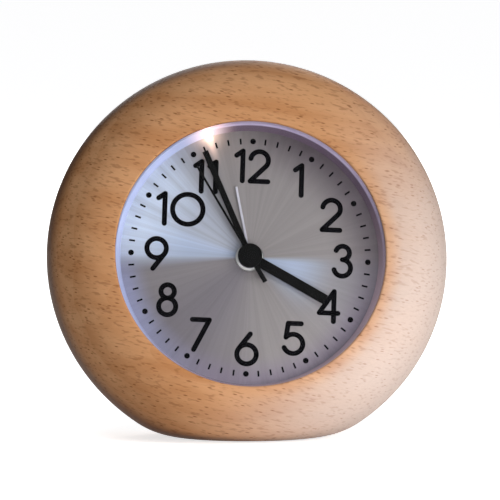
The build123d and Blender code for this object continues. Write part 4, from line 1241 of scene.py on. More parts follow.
class Finishes:
    """Every finish of the clock, by the record's material slot."""

    def __init__(self) -> None:
        """Build all materials, each under the name of its slot."""
        made = [
            Beech(),
            Pane(),
            SpunDial(),
            SilverRing(),
            Moulded("print_black", (0.003, 0.003, 0.004), 0.7, 0.2, 0.00001, sheen=0.02),
            Moulded("hand_black", (0.004, 0.004, 0.004), 0.5, 0.3, 0.000008, sheen=0.05),
            Moulded("hand_silver", (0.52, 0.51, 0.56), 0.3, 0.4, 0.000004),
            Moulded("cover_black", (0.026, 0.026, 0.028), 0.52, 0.35, 0.00005),
            Moulded("knob_black", (0.034, 0.034, 0.036), 0.42, 0.3),
            Moulded("button_grey", (0.20, 0.20, 0.215), 0.46, 0.3, 0.00003),
            Moulded("plate_white", (0.78, 0.78, 0.75), 0.5, 0.3),
            Moulded("gear_white", (0.83, 0.81, 0.73), 0.4, 0.4),
            Plated("steel", (0.62, 0.62, 0.64)),
            Plated("magnet", (0.26, 0.26, 0.28), 0.42),
            Turns(),
            SolderMask(),
            Moulded("chip_black", (0.015, 0.015, 0.016), 0.25, 0.5, 0.00001, coat=0.4),
            LitLamp(),
            CellWrap(),
            Moulded("wire_red", (0.45, 0.03, 0.025), 0.45, 0.4),
        ]
        self.by_slot = {finish.name: finish.material() for finish in made}

    def dress(self, piece: bpy.types.Object, slot: str) -> None:
        """Give a piece the material of a slot."""
        piece.data.materials.clear()
        piece.data.materials.append(self.by_slot[slot])

    def dress_solids(self) -> None:
        """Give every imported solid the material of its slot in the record."""
        for entry in frame["record"]["subparts"]:
            self.dress(frame["nodes"][entry["node"]], entry["material_slot"])

    def lay(
        self, surface: Surface, body: Body, slot: str, replaces: Sequence[str] = (), sharp: float = 32.0
    ) -> None:
        """Build a surface on its body and dress it in its slot's material."""
        self.dress(surface.build(body, slot, replaces, sharp), slot)


@dataclass
class WoodenCase:
    """Turned case: a full front curve, a tapering back, an eccentric bore and a flat cut for the base."""

    radius: float = 47.5
    depth: float = WOOD_DEPTH
    widest: float = STANCE.widest_depth
    back_radius: float = 42.5
    front_flat: float = 1.5
    fullness: float = 0.60
    back_round: float = 2.5
    back_turn: float = 4.0
    back_flare: float = 2.9
    back_run: float = 9.0
    opening: float = OPENING
    opening_round: float = 0.6
    bore: float = 33.3
    lip: float = 1.2
    edge_blend: float = 3.5
    crowding: float = 0.45
    steps: int = 520
    edge_rows: int = 7
    front_rows: int = 70
    back_rows: int = 44
    land_rows: int = 5
    wall_rows: int = 12
    sharp: float = 50.0

    def front_curve(self, count: int) -> np.ndarray:
        """Radius and depth along the front curve, a cubic with level and upright ends.

        Args:
            count: number of points.

        Returns:
            The points from the opening's flat to the widest circle.
        """
        land = self.opening + self.front_flat
        reach = self.radius - land
        level = (land + self.fullness * reach, 0.0)
        upright = (self.radius, self.widest * (1 - self.fullness))
        return cubic([(land, 0.0), level, upright, (self.radius, self.widest)], count)

    def back_curve(self, count: int) -> np.ndarray:
        """Radius and depth along the back: a cubic that leaves the widest circle upright, then a round.

        The round's centre lies inside the cubic by the round's radius, where that meets the same distance
        from the back.

        Args:
            count: number of points before the round.

        Returns:
            The points from the widest circle to the back.
        """
        upright = (self.radius, self.widest + self.back_turn)
        flared = (self.back_radius + self.back_flare, self.depth - self.back_run)
        path = cubic([(self.radius, self.widest), upright, flared, (self.back_radius, self.depth)], 800)
        step = np.gradient(path, axis=0)
        lean = np.arctan2(-step[:, 0], step[:, 1])
        centre = path[:, 1] - self.back_round * np.sin(lean)
        last = int(np.searchsorted(centre, self.depth - self.back_round))
        corner = np.linspace(lean[last], np.pi / 2, 10)
        outward = np.stack([np.cos(corner), np.sin(corner)], axis=-1)
        rim = path[last] + self.back_round * (outward - outward[0])
        return np.concatenate([path[np.linspace(0, last, count).astype(int)], rim[1:]])

    def reach(self, radius: Union[float, np.ndarray], angle: np.ndarray) -> np.ndarray:
        """Distance from the case's centre to a circle about the dial axis, which lies lower."""
        return -STANCE.rise * np.sin(angle) + np.sqrt(radius**2 - (STANCE.rise * np.cos(angle)) ** 2)

    def front_at(self, radius: np.ndarray) -> np.ndarray:
        """Depth of the front curve at a radius from the case's centre."""
        return np.interp(radius, *self.front_curve(400).T)

    def skin(self) -> np.ndarray:
        """The whole closed skin, one ring of points for each step along the turned profile.

        Each ring keeps the case's own centre. Where a ring meets the opening or the bore, which are
        centred lower, its radius is the distance from the case's centre to that circle. The points of a
        ring crowd towards the top by the sine of their place.

        Returns:
            A grid of upright points.
        """
        share = np.linspace(0, 2 * np.pi, self.steps, endpoint=False)
        angle = (share + self.crowding * np.sin(share) - np.pi / 2)[None, :]
        opening, bore = self.reach(self.opening, angle), self.reach(self.bore, angle)
        start = self.reach(self.opening + self.opening_round, angle)
        seat = self.front_at(start)
        corner = np.linspace(0, np.pi / 2, self.edge_rows)[:, None]
        edge = self.reach(self.opening + self.opening_round * (1 - np.cos(corner)), angle)
        edge_depth = seat + self.opening_round * (1 - np.sin(corner))
        front, back = self.front_curve(self.front_rows), self.back_curve(self.back_rows)
        outer = np.concatenate([front[1:], back[1:]])
        outer_radius, outer_depth = outer[:, :1], outer[:, 1:]
        radius = np.where(outer_depth < self.widest, np.maximum(outer_radius, start), outer_radius)
        depth = np.where(outer_radius > start, outer_depth, seat)
        inward = np.linspace(0, 1, self.land_rows)[1:, None]
        wall = np.linspace(0, 1, self.wall_rows)[1:, None]
        rows = [
            (edge, edge_depth),
            (radius, depth),
            ((1 - inward) * outer[-1, 0] + inward * bore, self.depth),
            (bore + 0 * wall, self.depth + wall * (self.lip - self.depth)),
            (np.concatenate([(bore + opening) / 2, opening]), self.lip),
        ]
        rows_radius = np.concatenate([ring for ring, _ in rows])
        rows_depth = np.concatenate([np.broadcast_to(level, ring.shape) for ring, level in rows])
        x = rows_radius * np.cos(angle)
        z = STANCE.rise + rows_radius * np.sin(angle)
        return np.stack([x, rows_depth, z], axis=-1)

    def cut(self, upright: np.ndarray) -> np.ndarray:
        """Raise the standing skin onto the flat base, softening the cut's edge, and lay it upright again.

        Args:
            upright: the whole skin.

        Returns:
            The skin with its base.
        """
        standing = STANCE.leaned(upright)[..., 2]
        lift = soft_floor(standing, 0.0, self.edge_blend) - standing
        lifted = upright.copy()
        lifted[..., 1] -= lift * STANCE.sine
        lifted[..., 2] += lift * STANCE.cosine
        return lifted

    def build(self, finishes: Finishes) -> None:
        """Make and dress the case."""
        surface = Surface("case_beech").add(self.cut(self.skin()), True, True)
        finishes.lay(surface, Body.CASE, "beech", ["wood_case"], self.sharp)


Strokes = list[np.ndarray]


@dataclass
class Numerals:
    """Plain upright numerals drawn with one round-ended stroke width."""

    height: float = 7.2
    stroke: float = 1.2
    gap: float = 0.65
    circle: float = 22.0
    ten_circle: float = 19.9
    ten_shift: float = 3.4
    turn: float = DIAL_TURN
    one_stem: float = 1.5
    one_flag: float = 1.1
    two_bowl: float = 2.1
    two_hook: Point = (-38, 208)
    three_bowls: Point = (0.225, 0.275)
    three_crown: Point = (-90, 250)
    three_foot: Point = (-165, 255)
    four_stem: float = 3.4
    four_bar: float = 2.0
    four_width: float = 4.4
    five_slant: float = 0.45
    five_width: float = 4.1
    five_hook: Point = (-155, 293)
    six_bowl: float = 2.3
    six_tip: float = 3.05
    six_touch: float = 143
    seven_foot: float = 0.5
    seven_width: float = 4.0
    eight_bowls: Point = (0.22, 0.28)

    def digit(self, sign: str) -> Strokes:
        """Draw a digit from straight strokes and arcs; a nine is a six turned half round.

        Args:
            sign: the digit.

        Returns:
            Middle lines of its strokes, from its lower left corner.
        """
        tall, bowl = self.height, self.six_bowl
        if sign == "0":
            return [arc((tall / 2, tall / 2), tall / 2, 0, 360, 72)]
        if sign == "1":
            top = (self.one_stem, tall)
            return [line((self.one_stem, 0), top), line((0, tall - self.one_flag), top)]
        if sign == "2":
            hook = arc((self.two_bowl, tall - self.two_bowl), self.two_bowl, *self.two_hook)
            return [hook, line(tuple(hook[0]), (0, 0)), line((0, 0), (2 * self.two_bowl, 0))]
        if sign == "3":
            upper, lower = (share * tall for share in self.three_bowls)
            crown = arc((lower, 2 * lower + upper), upper, *self.three_crown)
            return [crown, arc((lower, lower), lower, *self.three_foot)]
        if sign == "4":
            top, elbow = (self.four_stem, tall), (0, self.four_bar)
            bar = line(elbow, (self.four_width, self.four_bar))
            return [line((self.four_stem, 0), top), line(top, elbow), bar]
        if sign == "5":
            hook = arc((bowl, bowl), bowl, *self.five_hook)
            corner = (float(hook[-1, 0]) + self.five_slant, tall)
            return [hook, line(tuple(hook[-1]), corner), line(corner, (self.five_width, tall))]
        if sign == "6":
            touch = arc((bowl, bowl), bowl, self.six_touch, 1, 2)[0]
            return [arc((bowl, bowl), bowl, 0, 360, 64), line(tuple(touch), (self.six_tip, tall))]
        if sign == "7":
            corner = (self.seven_width, tall)
            return [line((0, tall), corner), line(corner, (self.seven_foot, 0))]
        if sign == "8":
            upper, lower = (share * tall for share in self.eight_bowls)
            crown = arc((lower, 2 * lower + upper), upper, 0, 360, 48)
            return [arc((lower, lower), lower, 0, 360, 56), crown]
        return [-path for path in self.digit("6")]

    def word(self, hour: int) -> Strokes:
        """Set an hour's digits side by side.

        Args:
            hour: the hour.

        Returns:
            Middle lines of the strokes, round their common centre.
        """
        placed: Strokes = []
        edge = 0.0
        for sign in str(hour):
            paths = self.digit(sign)
            low = np.min([path.min(0) for path in paths], axis=0)
            high = np.max([path.max(0) for path in paths], axis=0)
            corner = np.array([edge + self.stroke / 2, self.stroke / 2])
            placed += [path - low + corner for path in paths]
            edge += high[0] - low[0] + self.stroke + self.gap
        middle = np.array([(edge - self.gap) / 2, (self.height + self.stroke) / 2])
        return [path - middle for path in placed]

    def strokes(self) -> Strokes:
        """Set all twelve numerals in their places.

        Returns:
            Middle lines of their strokes.
        """
        tilt = math.radians(-self.turn)
        spin = np.array([[math.cos(tilt), math.sin(tilt)], [-math.sin(tilt), math.cos(tilt)]])
        placed: Strokes = []
        for hour in range(1, 13):
            reach, shift = (self.ten_circle, self.ten_shift) if hour == 10 else (self.circle, 0.0)
            away = math.radians(90 - 30 * hour - shift - self.turn)
            centre = reach * np.array([math.cos(away), math.sin(away)])
            placed += [path @ spin + centre for path in self.word(hour)]
        return placed


@dataclass
class Face:
    """Lens, silver ring, spun dial and its print."""

    insert: float = 33.15
    lens_front: float = 1.2
    lens_back: float = 2.6
    lens_round: float = 0.3
    dial_front: float = DIAL_FRONT
    dial_back: float = 6.2
    ring_front: float = 31.6
    ring_back: float = 30.5
    ring_gap: float = 0.02
    ring_round: float = 0.12
    soft: float = 0.05
    hub: float = 3.35
    ink: float = 0.04
    track: float = 28.0
    dot: float = 1.35
    dot_bevel: float = 0.03
    tick: Point = (0.42, 1.4)
    turning: int = 220
    numerals: Numerals = field(default_factory=Numerals)

    def lens(self) -> np.ndarray:
        """The lens, a disc with a rounded front edge, turned about the dial axis.

        Returns:
            A grid of upright points.
        """
        edge, front, back = self.insert, self.lens_front, self.lens_back
        corners = [(0, front, 0), (edge, front, self.lens_round), (edge, back, self.soft), (0, back, 0)]
        return turned(rounded(corners), steps=200)

    def collar(self, inner_front: Triple, inner_back: Point, front: float, back: float) -> np.ndarray:
        """A ring turned about the dial axis, out to the edge of the insert.

        Args:
            inner_front: radius, depth and round of its inner front edge.
            inner_back: radius and depth of its inner back edge.
            front: depth of its outer front edge.
            back: depth of its outer back edge.

        Returns:
            A grid of upright points.
        """
        outer = [(self.insert, front, self.soft), (self.insert, back, self.soft)]
        return turned(rounded([inner_front, *outer, (*inner_back, self.soft)]), steps=self.turning)

    def ticks(self) -> np.ndarray:
        """Square-ended minute ticks: for each, three rows of corners from its foot up to its middle.

        Returns:
            Grids of upright points, one for each tick.
        """
        minutes = np.arange(60)
        minutes = minutes[minutes % 5 != 0]
        away = np.radians(90 - 6 * minutes - self.numerals.turn)[:, None]
        side = np.array([-1, 1, 1, -1, -1])[None, :] * self.tick[0] / 2
        out = self.track + np.array([-1, -1, 1, 1, -1])[None, :] * self.tick[1] / 2
        x = out * np.cos(away) - side * np.sin(away)
        z = out * np.sin(away) + side * np.cos(away)
        top = np.stack([x, np.full_like(x, self.dial_front - self.ink), z], axis=-1)
        foot = np.stack([x, np.full_like(x, self.dial_front), z], axis=-1)
        middle = np.broadcast_to(top[:, :4].mean(1, keepdims=True), top.shape)
        return np.stack([foot, top, middle], axis=1)

    def dots(self) -> list[np.ndarray]:
        """Round hour dots, each a low bevelled disc turned about its own middle.

        Returns:
            Grids of upright points, one for each dot.
        """
        radius, top = self.dot / 2, self.dial_front - self.ink
        profile = np.array([(radius, self.dial_front), (radius - self.dot_bevel, top), (0, top)])
        away = [math.radians(90 - 30 * hour - self.numerals.turn) for hour in range(12)]
        places = [(self.track * math.cos(turn), self.track * math.sin(turn)) for turn in away]
        return [turned(profile, at, 28) for at in places]

    def build(self, finishes: Finishes) -> None:
        """Make and dress the pieces of the face.

        Args:
            finishes: the finishes by slot.
        """
        pane = Surface("lens_pane").add(self.lens(), False, True)
        finishes.lay(pane, Body.CASE, "lens", ["lens"])
        front, back = self.lens_back + self.ring_gap, self.dial_front
        grid = self.collar((self.ring_front, front, self.ring_round), (self.ring_back, back), front, back)
        bezel = Surface("ring_silver_bezel").add(grid, True, True)
        finishes.lay(bezel, Body.CASE, "ring_silver", ["dial_ring"])
        front, back = self.dial_front, self.dial_back
        grid = self.collar((self.hub, front, self.soft), (self.hub, back), front, back)
        plate = Surface("dial_plate").add(grid, True, True)
        finishes.lay(plate, Body.CASE, "dial_silver", ["dial"])
        figures = Surface("numeral_print")
        for path in self.numerals.strokes():
            figures.add(ribbon(path, self.numerals.stroke, self.dial_front, -self.ink))
        finishes.lay(figures, Body.CASE, "print_black", ["dial_numerals"])
        track = Surface("minute_print")
        for tick in self.ticks():
            track.add(tick)
        for dot in self.dots():
            track.add(dot, False, True)
        finishes.lay(track, Body.CASE, "print_black", ["dial_minute_track"])


@dataclass(frozen=True)
class Blade:
    """One hand: a straight bar from its tail to its tip, with a hub and softened edges."""

    name: str
    node: str
    body: Body
    slot: str
    clock_angle: float
    length: float
    width: float
    bore: float
    tail: float = 0.0
    tail_width: float = 0.0


@dataclass
class Hands:
    """The four hands, set at a time of day, and the cap over their hub."""

    thickness: float = 0.25
    gap: float = 0.25
    lift: float = 0.4
    dial_front: float = DIAL_FRONT
    hub: float = 2.75
    cap: float = 2.9
    cap_height: float = 0.5
    cap_round: float = 0.3
    cap_soft: float = 0.03
    turn: float = DIAL_TURN
    bevel: float = 0.07
    soft: float = 0.02
    hour: int = 3
    minute: int = 55
    second_angle: float = 328.0
    alarm_angle: float = 347.6

    def blades(self) -> list[Blade]:
        """Set the hands to the time.

        Returns:
            The hands from the dial outwards.
        """
        minute_angle = 6 * self.minute + self.second_angle / 60
        hour_angle = 30 * self.hour + minute_angle / 12
        dark, light = "hand_black", "hand_silver"
        return [
            Blade(
                "alarm_blade", "alarm_hand", Body.ALARM, light, self.alarm_angle,
                length=17.2, width=0.55, bore=2.37,
            ),
            Blade(
                "hour_blade", "hour_hand", Body.HOUR, dark, hour_angle,
                length=20.6, width=2.4, bore=1.77,
            ),
            Blade(
                "minute_blade", "minute_hand", Body.MINUTE, dark, minute_angle,
                length=27.3, width=1.4, bore=1.17,
            ),
            Blade(
                "second_blade", "second_hand", Body.SECOND, dark, self.second_angle,
                length=24.8, width=0.5, bore=0.52, tail=7.2, tail_width=1.1,
            ),
        ]

    def bar(self, blade: Blade, ends: Point, width: float, back: float) -> np.ndarray:
        """A bar along the hand: a flat box section with softened front edges, drawn in at its two ends.

        Args:
            blade: the hand.
            ends: where the bar begins and ends, outwards from the hub.
            width: its width.
            back: depth of its back.

        Returns:
            A grid of upright points, one row for each section along the bar.
        """
        low, high = ends
        heading = math.radians(90 - blade.clock_angle - self.turn)
        out = np.array([math.cos(heading), math.sin(heading)])
        side = np.array([-out[1], out[0]])
        soft = self.bevel
        shoulder = np.array([0, soft, 0, 0, soft, 0])
        across = np.array([-1, -1, -1, 1, 1, 1]) * width / 2 + np.array([0, 0, soft, -soft, 0, 0])
        depth = back - self.thickness * np.array([0, 1, 1, 1, 1, 0]) + shoulder
        along = np.array([low, low, low + soft, high - soft, high, high])
        full = np.array([0, 1, 1, 1, 1, 0])[:, None]
        dip = np.where(depth[None, :] < back - soft, shoulder[:, None], 0)
        flat = along[:, None, None] * out + (across[None, :] * full)[..., None] * side
        level = np.where(full > 0, depth[None, :] + dip, back)
        return np.stack([flat[..., 0], level, flat[..., 1]], axis=-1)

    def disc(self, radius: float, bore: float, back: float) -> np.ndarray:
        """Profile of a hand's hub, a flat ring with a softened front edge.

        Args:
            radius: its outer radius.
            bore: radius of its bore.
            back: depth of its back.

        Returns:
            Radius and depth, point by point.
        """
        front, soft = back - self.thickness, self.soft
        return rounded(
            [(bore, front, soft), (radius, front, self.bevel), (radius, back, soft), (bore, back, soft)]
        )

    def build(self, finishes: Finishes) -> None:
        """Make and dress the hands and the cap.

        Args:
            finishes: the finishes by slot.
        """
        back = self.dial_front - self.lift
        for blade in self.blades():
            hub = turned(self.disc(self.hub, blade.bore, back), steps=64)
            surface = Surface(blade.name).add(hub, True, True)
            inner = (blade.bore + self.hub) / 2
            surface.add(self.bar(blade, (inner, blade.length), blade.width, back), False, True)
            if blade.tail:
                surface.add(self.bar(blade, (-blade.tail, -inner), blade.tail_width, back), False, True)
            finishes.lay(surface, blade.body, blade.slot, [blade.node])
            back -= self.thickness + self.gap
        back += self.gap
        front = back - self.cap_height
        edge = [(self.cap, front, self.cap_round), (self.cap, back, self.cap_soft)]
        corners = [(0, front, 0), *edge, (0, back, 0)]
        button = Surface("cap_button").add(turned(rounded(corners, 8), steps=72), False, True)
        finishes.lay(button, Body.SECOND, "hand_black", ["hand_cap"])


@dataclass
class Back:
    """Cover bead, knobs, snooze button, battery lid and the raised marks on the back."""

    cover: float = 36.6
    wood: float = WOOD_DEPTH
    flange: float = 38.0
    flat: float = 34.0
    bead_width: float = 1.5
    bead_rise: float = 0.15
    bead_foot: float = 0.02
    bead_blend: float = 0.35
    bead_soft: float = 0.05
    bead_outer: float = 0.5
    bead_inner: float = 0.25
    knob_at: Point = (13.0, 14.0)
    knob_radius: float = 5.5
    knob_gap: float = 0.3
    knob_height: float = 4.0
    knob_edge: tuple[Point, ...] = ((0.25, 0.0), (0.0, 0.2), (0.0, 3.7), (0.12, 3.92), (0.4, 4.0))
    knob_dish: tuple[Point, ...] = ((4.1, 0.0), (3.95, 0.1), (3.8, 0.34), (3.5, 0.4))
    knob_sharp: float = 40.0
    flutes: int = 18
    flute_steps: int = 16
    flute_radius: float = 0.55
    flute_out: float = 0.2
    button: Triple = (13.0, 7.0, 2.0)
    button_rise: float = 23.5
    button_proud: float = 1.4
    button_least: float = 0.3
    button_foot: float = 0.1
    button_crown: tuple[Point, ...] = ((0.0, 0.6), (0.08, 0.3), (0.3, 0.08), (0.7, 0.02), (1.6, 0.0))
    bay: Point = (27.2, 7.5)
    cell_drop: float = CELL_DROP
    ledge: float = 0.65
    lid_radius: float = 0.6
    lid_soft: Point = (0.1, 0.15)
    mark_width: float = 0.7
    mark_foot: float = 0.02
    mark_rise: float = 0.22
    arrow_circle: float = 7.6
    arrow_start: float = -70.0
    arrow_sweep: float = 95.0
    arrow_barb: Point = (1.7, 1.2)
    rib_width: float = 0.6
    rib_half: float = 5.0
    rib_pitch: float = 1.5
    rib_drop: float = 4.6
    point_drop: float = 7.2
    point_barb: Point = (1.6, 1.3)

    def bead(self) -> np.ndarray:
        """A raised border carried round the cover's outline: a circle with a softly cut foot.

        Returns:
            A grid of upright points.
        """
        angle = np.linspace(0, 2 * np.pi, 360, endpoint=False)[None, :]
        low, high = self.wood + self.bead_foot, self.cover + self.bead_rise
        section = rounded(
            [
                (0.0, low, self.bead_soft),
                (0.0, high, self.bead_outer),
                (-self.bead_width, high, self.bead_inner),
                (-self.bead_width, low, self.bead_soft),
            ]
        )
        inset, depth = section[:, :1], section[:, 1:]
        reach = self.flange + inset
        x = reach * np.cos(angle)
        z = soft_floor(reach * np.sin(angle), -self.flat - inset, self.bead_blend)
        return np.stack([x, depth + 0 * angle, z], axis=-1)

    def knob(self, side: int) -> np.ndarray:
        """A fluted knob: round scallops cut its circle, and its top is dished.

        Args:
            side: 1 for the knob at +x, -1 for the other.

        Returns:
            A grid of upright points.
        """
        angle = np.linspace(0, 2 * np.pi, self.flutes * self.flute_steps, endpoint=False)
        pitch = 2 * np.pi / self.flutes
        off = (angle + pitch / 2) % pitch - pitch / 2
        centre = self.knob_radius + self.flute_out
        room = self.flute_radius**2 - (centre * np.sin(off)) ** 2
        scallop = centre * np.cos(off) - np.sqrt(np.maximum(room, 0))
        rim = np.where(room > 0, np.minimum(scallop, self.knob_radius), self.knob_radius)
        front = self.cover + self.knob_gap
        back = front + self.knob_height
        circle = np.stack([np.cos(angle), np.sin(angle)], axis=-1)
        outlines = [circle * (rim - inset)[:, None] for inset, _ in self.knob_edge]
        outlines += [circle * radius for radius, _ in self.knob_dish]
        depths = [front + level for _, level in self.knob_edge]
        depths += [back - level for _, level in self.knob_dish]
        return stack_of(outlines, depths, (side * self.knob_at[0], self.knob_at[1]))

    def pad(self) -> np.ndarray:
        """The snooze button: a rounded rectangle with a soft crown.

        Returns:
            A grid of upright points.
        """
        width, height, radius = self.button
        back = self.cover + self.button_proud
        steps = [(0.0, self.wood - self.button_foot)]
        steps += [(inset, back - below) for inset, below in self.button_crown]
        outlines = [
            rounded_rectangle(width - 2 * inset, height - 2 * inset, max(radius - inset, self.button_least))
            for inset, _ in steps
        ]
        return stack_of(outlines, [depth for _, depth in steps], (0.0, self.button_rise))

    def lid(self) -> np.ndarray:
        """The battery lid: a thin plate with softened corners and edges.

        Returns:
            A grid of upright points.
        """
        width, height = 2 * (self.bay[0] + self.ledge), 2 * (self.bay[1] + self.ledge)
        inner, outer = self.lid_soft
        depths = [self.wood, self.wood + inner, self.cover - outer, self.cover]
        outlines = [
            rounded_rectangle(width - 2 * inset, height - 2 * inset, self.lid_radius)
            for inset in (inner, 0.0, 0.0, outer)
        ]
        return stack_of(outlines, depths, (0.0, -self.cell_drop))

    def mark(self, surface: Surface, path: np.ndarray, width: float) -> None:
        """Add a raised stroke to the back of the cover."""
        surface.add(ribbon(path, width, self.cover - self.mark_foot, self.mark_rise))

    def arrows(self) -> Surface:
        """Curved arrows beside the knobs that show which way to turn.

        Returns:
            Their surface.
        """
        surface = Surface("turning_arrows")
        length, spread = self.arrow_barb
        for side in (-1, 1):
            centre = (side * self.knob_at[0], self.knob_at[1])
            start = self.arrow_start if side > 0 else 180 - self.arrow_start
            path = arc(centre, self.arrow_circle, start, side * self.arrow_sweep, 48)
            self.mark(surface, path, self.mark_width)
            tip, before = path[-1], path[-6]
            heading = (tip - before) / np.linalg.norm(tip - before)
            across = np.array([-heading[1], heading[0]])
            for hand in (-1, 1):
                end = tip - length * heading + hand * spread * across
                self.mark(surface, line(tuple(tip), tuple(end)), self.mark_width)
        return surface

    def lid_ribs(self) -> Surface:
        """Three grip ribs and an arrow head on the lid.

        Returns:
            Their surface.
        """
        surface = Surface("lid_grip")
        top = -self.cell_drop + self.bay[1]
        for index in range(3):
            height = top - self.rib_drop + self.rib_pitch * index
            self.mark(surface, line((-self.rib_half, height), (self.rib_half, height)), self.rib_width)
        point = (0.0, top - self.point_drop)
        for hand in (-1, 1):
            end = (hand * self.point_barb[0], point[1] + self.point_barb[1])
            self.mark(surface, line(point, end), self.rib_width)
        return surface

    def build(self, finishes: Finishes) -> None:
        """Make and dress the pieces of the back.

        Args:
            finishes: the finishes by slot.
        """
        bead = Surface("cover_bead").add(self.bead(), True, True)
        finishes.lay(bead, Body.CASE, "cover_black")
        for side, name, body in ((1, "time", Body.TIME_SETTER), (-1, "alarm", Body.ALARM_SETTER)):
            grip = Surface(f"{name}_knob_grip").add(self.knob(side), False, True)
            finishes.lay(grip, body, "knob_black", [f"{name}_knob"], self.knob_sharp)
        pad = Surface("snooze_pad").add(self.pad(), False, True)
        finishes.lay(pad, Body.SNOOZE, "button_grey", ["snooze_button"])
        lid = Surface("battery_lid").add(self.lid(), False, True)
        finishes.lay(lid, Body.DOOR, "cover_black", ["battery_door"])
        finishes.lay(self.lid_ribs(), Body.DOOR, "cover_black")
        finishes.lay(self.arrows(), Body.CASE, "cover_black")


@dataclass
class DryCell:
    """The cell in its bay, turned about its own length."""

    radius: float = 7.1
    low: float = -23.4
    high: float = 25.6
    soft: float = 0.6
    nub_radius: float = 2.7
    nub: float = 1.2
    nub_foot: float = 0.1
    nub_round: float = 0.3
    depth: float = 26.1
    drop: float = CELL_DROP

    def build(self, finishes: Finishes) -> None:
        """Make and dress the cell.

        Args:
            finishes: the finishes by slot.
        """
        tip = self.high + self.nub
        corners = [
            (0, self.low, 0),
            (self.radius, self.low, self.soft),
            (self.radius, self.high, self.soft),
            (self.nub_radius, self.high, self.nub_foot),
            (self.nub_radius, tip, self.nub_round),
            (0, tip, 0),
        ]
        grid = turned(rounded(corners, 6), (self.depth, -self.drop), 96, Axis.ACROSS)
        finishes.lay(Surface("dry_cell").add(grid, False, True), Body.CASE, "cell", ["battery_cell"])


@dataclass(frozen=True)
class Lamp:
    """A square lamp: its place and side in metres, its power in watts and its colour."""

    name: str
    at: Triple
    side: float
    power: float
    colour: Colour

    def hang(self, aim: Vector) -> None:
        """Hang the lamp so that it faces a point.

        Args:
            aim: the point, in metres.
        """
        data = bpy.data.lights.new(self.name, "AREA")
        data.energy, data.size, data.color = self.power, self.side, self.colour
        lamp = bpy.data.objects.new(self.name, data)
        lamp.location = self.at
        lamp.rotation_euler = (Vector(self.at) - aim).to_track_quat("Z", "Y").to_euler()
        lamp.visible_camera = False
        bpy.context.scene.collection.objects.link(lamp)


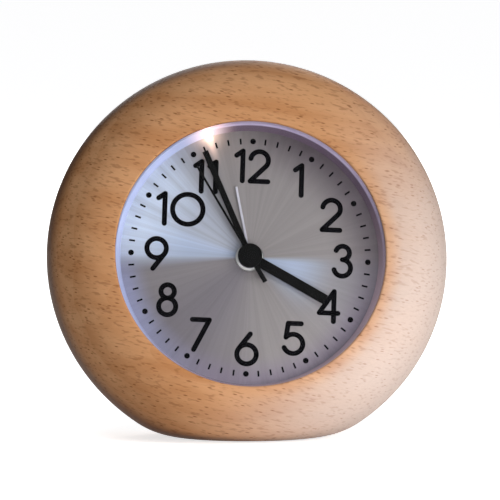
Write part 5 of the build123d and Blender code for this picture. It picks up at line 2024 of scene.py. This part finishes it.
@dataclass
class Studio:
    """Pale floor, soft lamps, white surround and the camera at the photograph's angle."""

    lens: float = 600.0
    sensor: float = 36.0
    clip_end: float = 20.0
    distance: float = 1.977
    azimuth: float = -3.5
    elevation: float = 4.5
    aim_right: float = 0.00076
    aim_up: float = 0.00185
    lamp_aim: Triple = (0.0, 0.0, 0.045)
    lamps: tuple[Lamp, ...] = (
        Lamp("key", (0.80, -0.46, 0.22), 0.44, 2.7, (1.0, 0.975, 0.96)),
        Lamp("card", (0.055, -0.10, 0.004), 0.07, 0.12, (1.0, 0.96, 0.95)),
        Lamp("top", (-0.24, -0.40, 0.95), 0.5, 2.1, (0.98, 0.99, 1.0)),
        Lamp("rear", (0.05, 0.95, 0.45), 0.6, 4.0, (1.0, 1.0, 1.0)),
    )
    sky: tuple[float, float, float, float] = (0.97, 0.975, 1.0, 1.0)
    sky_heading: Triple = (0.82, -0.45, 0.36)
    sky_turn: Point = (-0.45, 0.9)
    ambient: float = 0.52
    shade: float = 0.03
    paper_dark: Colour = (0.90, 0.90, 0.90)
    paper_light: Colour = (0.93, 0.93, 0.93)
    paper_glow: float = 0.72
    paper_specks: float = 200.0
    white: Colour = (1.0, 1.0, 1.0)
    floor_half: float = 6.0
    floor_gap: float = 0.00002

    def camera(self) -> None:
        """Place the camera and make it the scene's."""
        az, el = math.radians(self.azimuth), math.radians(self.elevation)
        away = Vector((math.sin(az) * math.cos(el), -math.cos(az) * math.cos(el), math.sin(el)))
        right = Vector((math.cos(az), math.sin(az), 0))
        up = right.cross(-away)
        data = bpy.data.cameras.new("camera")
        data.lens, data.sensor_width, data.clip_end = self.lens, self.sensor, self.clip_end
        camera = bpy.data.objects.new("camera", data)
        centre = Vector((0, 0, STANCE.drop / MM))
        camera.location = centre + right * self.aim_right + up * self.aim_up + away * self.distance
        camera.rotation_euler = away.to_track_quat("Z", "Y").to_euler()
        bpy.context.scene.collection.objects.link(camera)
        bpy.context.scene.camera = camera

    def surround(self) -> None:
        """A plain soft light all round, strongest from the front right and weakest behind on the left."""
        world = bpy.data.worlds.new("surround")
        bpy.context.scene.world = world
        world.use_nodes = True
        recipe = Recipe(world.node_tree, "ShaderNodeOutputWorld")
        heading = recipe.wire("ShaderNodeTexCoord", "Generated")
        level = recipe.dot(heading, self.sky_heading).ramp(*self.sky_turn, self.shade, self.ambient)
        recipe.finish(recipe.wire("ShaderNodeBackground", 0, {0: self.sky, 1: level}))

    def paper(self) -> bpy.types.Material:
        """Pale floor paper that glows a little to the eye, to mirrors and through glass.

        Returns:
            The material.
        """
        material, recipe = new_material("floor_paper")
        speck = recipe.cloud(self.paper_specks)
        rays = recipe.node("ShaderNodeLightPath").outputs
        seen = Wire(recipe, rays["Is Camera Ray"])
        for kind in ("Is Glossy Ray", "Is Transmission Ray"):
            seen = seen.larger(Wire(recipe, rays[kind]))
        tone = recipe.mix(speck, self.paper_dark, self.paper_light)
        matt = recipe.wire("ShaderNodeBsdfDiffuse", 0, {"Color": tone})
        feeds = {"Color": self.white, "Strength": seen * self.paper_glow}
        glow = recipe.wire("ShaderNodeEmission", 0, feeds)
        recipe.finish(recipe.wire("ShaderNodeAddShader", 0, {0: matt, 1: glow}))
        return material

    def floor(self) -> None:
        """A wide pale floor that keeps the clock's shadow."""
        side = self.floor_half
        corners = [(-side, -side, 0), (side, -side, 0), (side, side, 0), (-side, side, 0)]
        mesh = bpy.data.meshes.new("floor")
        mesh.from_pydata(corners, [], [(0, 1, 2, 3)])
        mesh.materials.append(self.paper())
        floor = bpy.data.objects.new("floor", mesh)
        floor.location.z = -self.floor_gap
        bpy.context.scene.collection.objects.link(floor)

    def build(self) -> None:
        """Set up the whole studio."""
        bpy.context.scene.view_settings.view_transform = "Standard"
        self.camera()
        self.surround()
        self.floor()
        for lamp in self.lamps:
            lamp.hang(Vector(self.lamp_aim))


def main() -> None:
    """Build the clock, then the studio."""
    logging.basicConfig(level=logging.INFO, format="%(message)s")
    finishes = Finishes()
    finishes.dress_solids()
    for part in (WoodenCase(), Face(), Hands(), Back(), DryCell()):
        part.build(finishes)
    Studio().build()


if __name__ == "__main__":
    main()
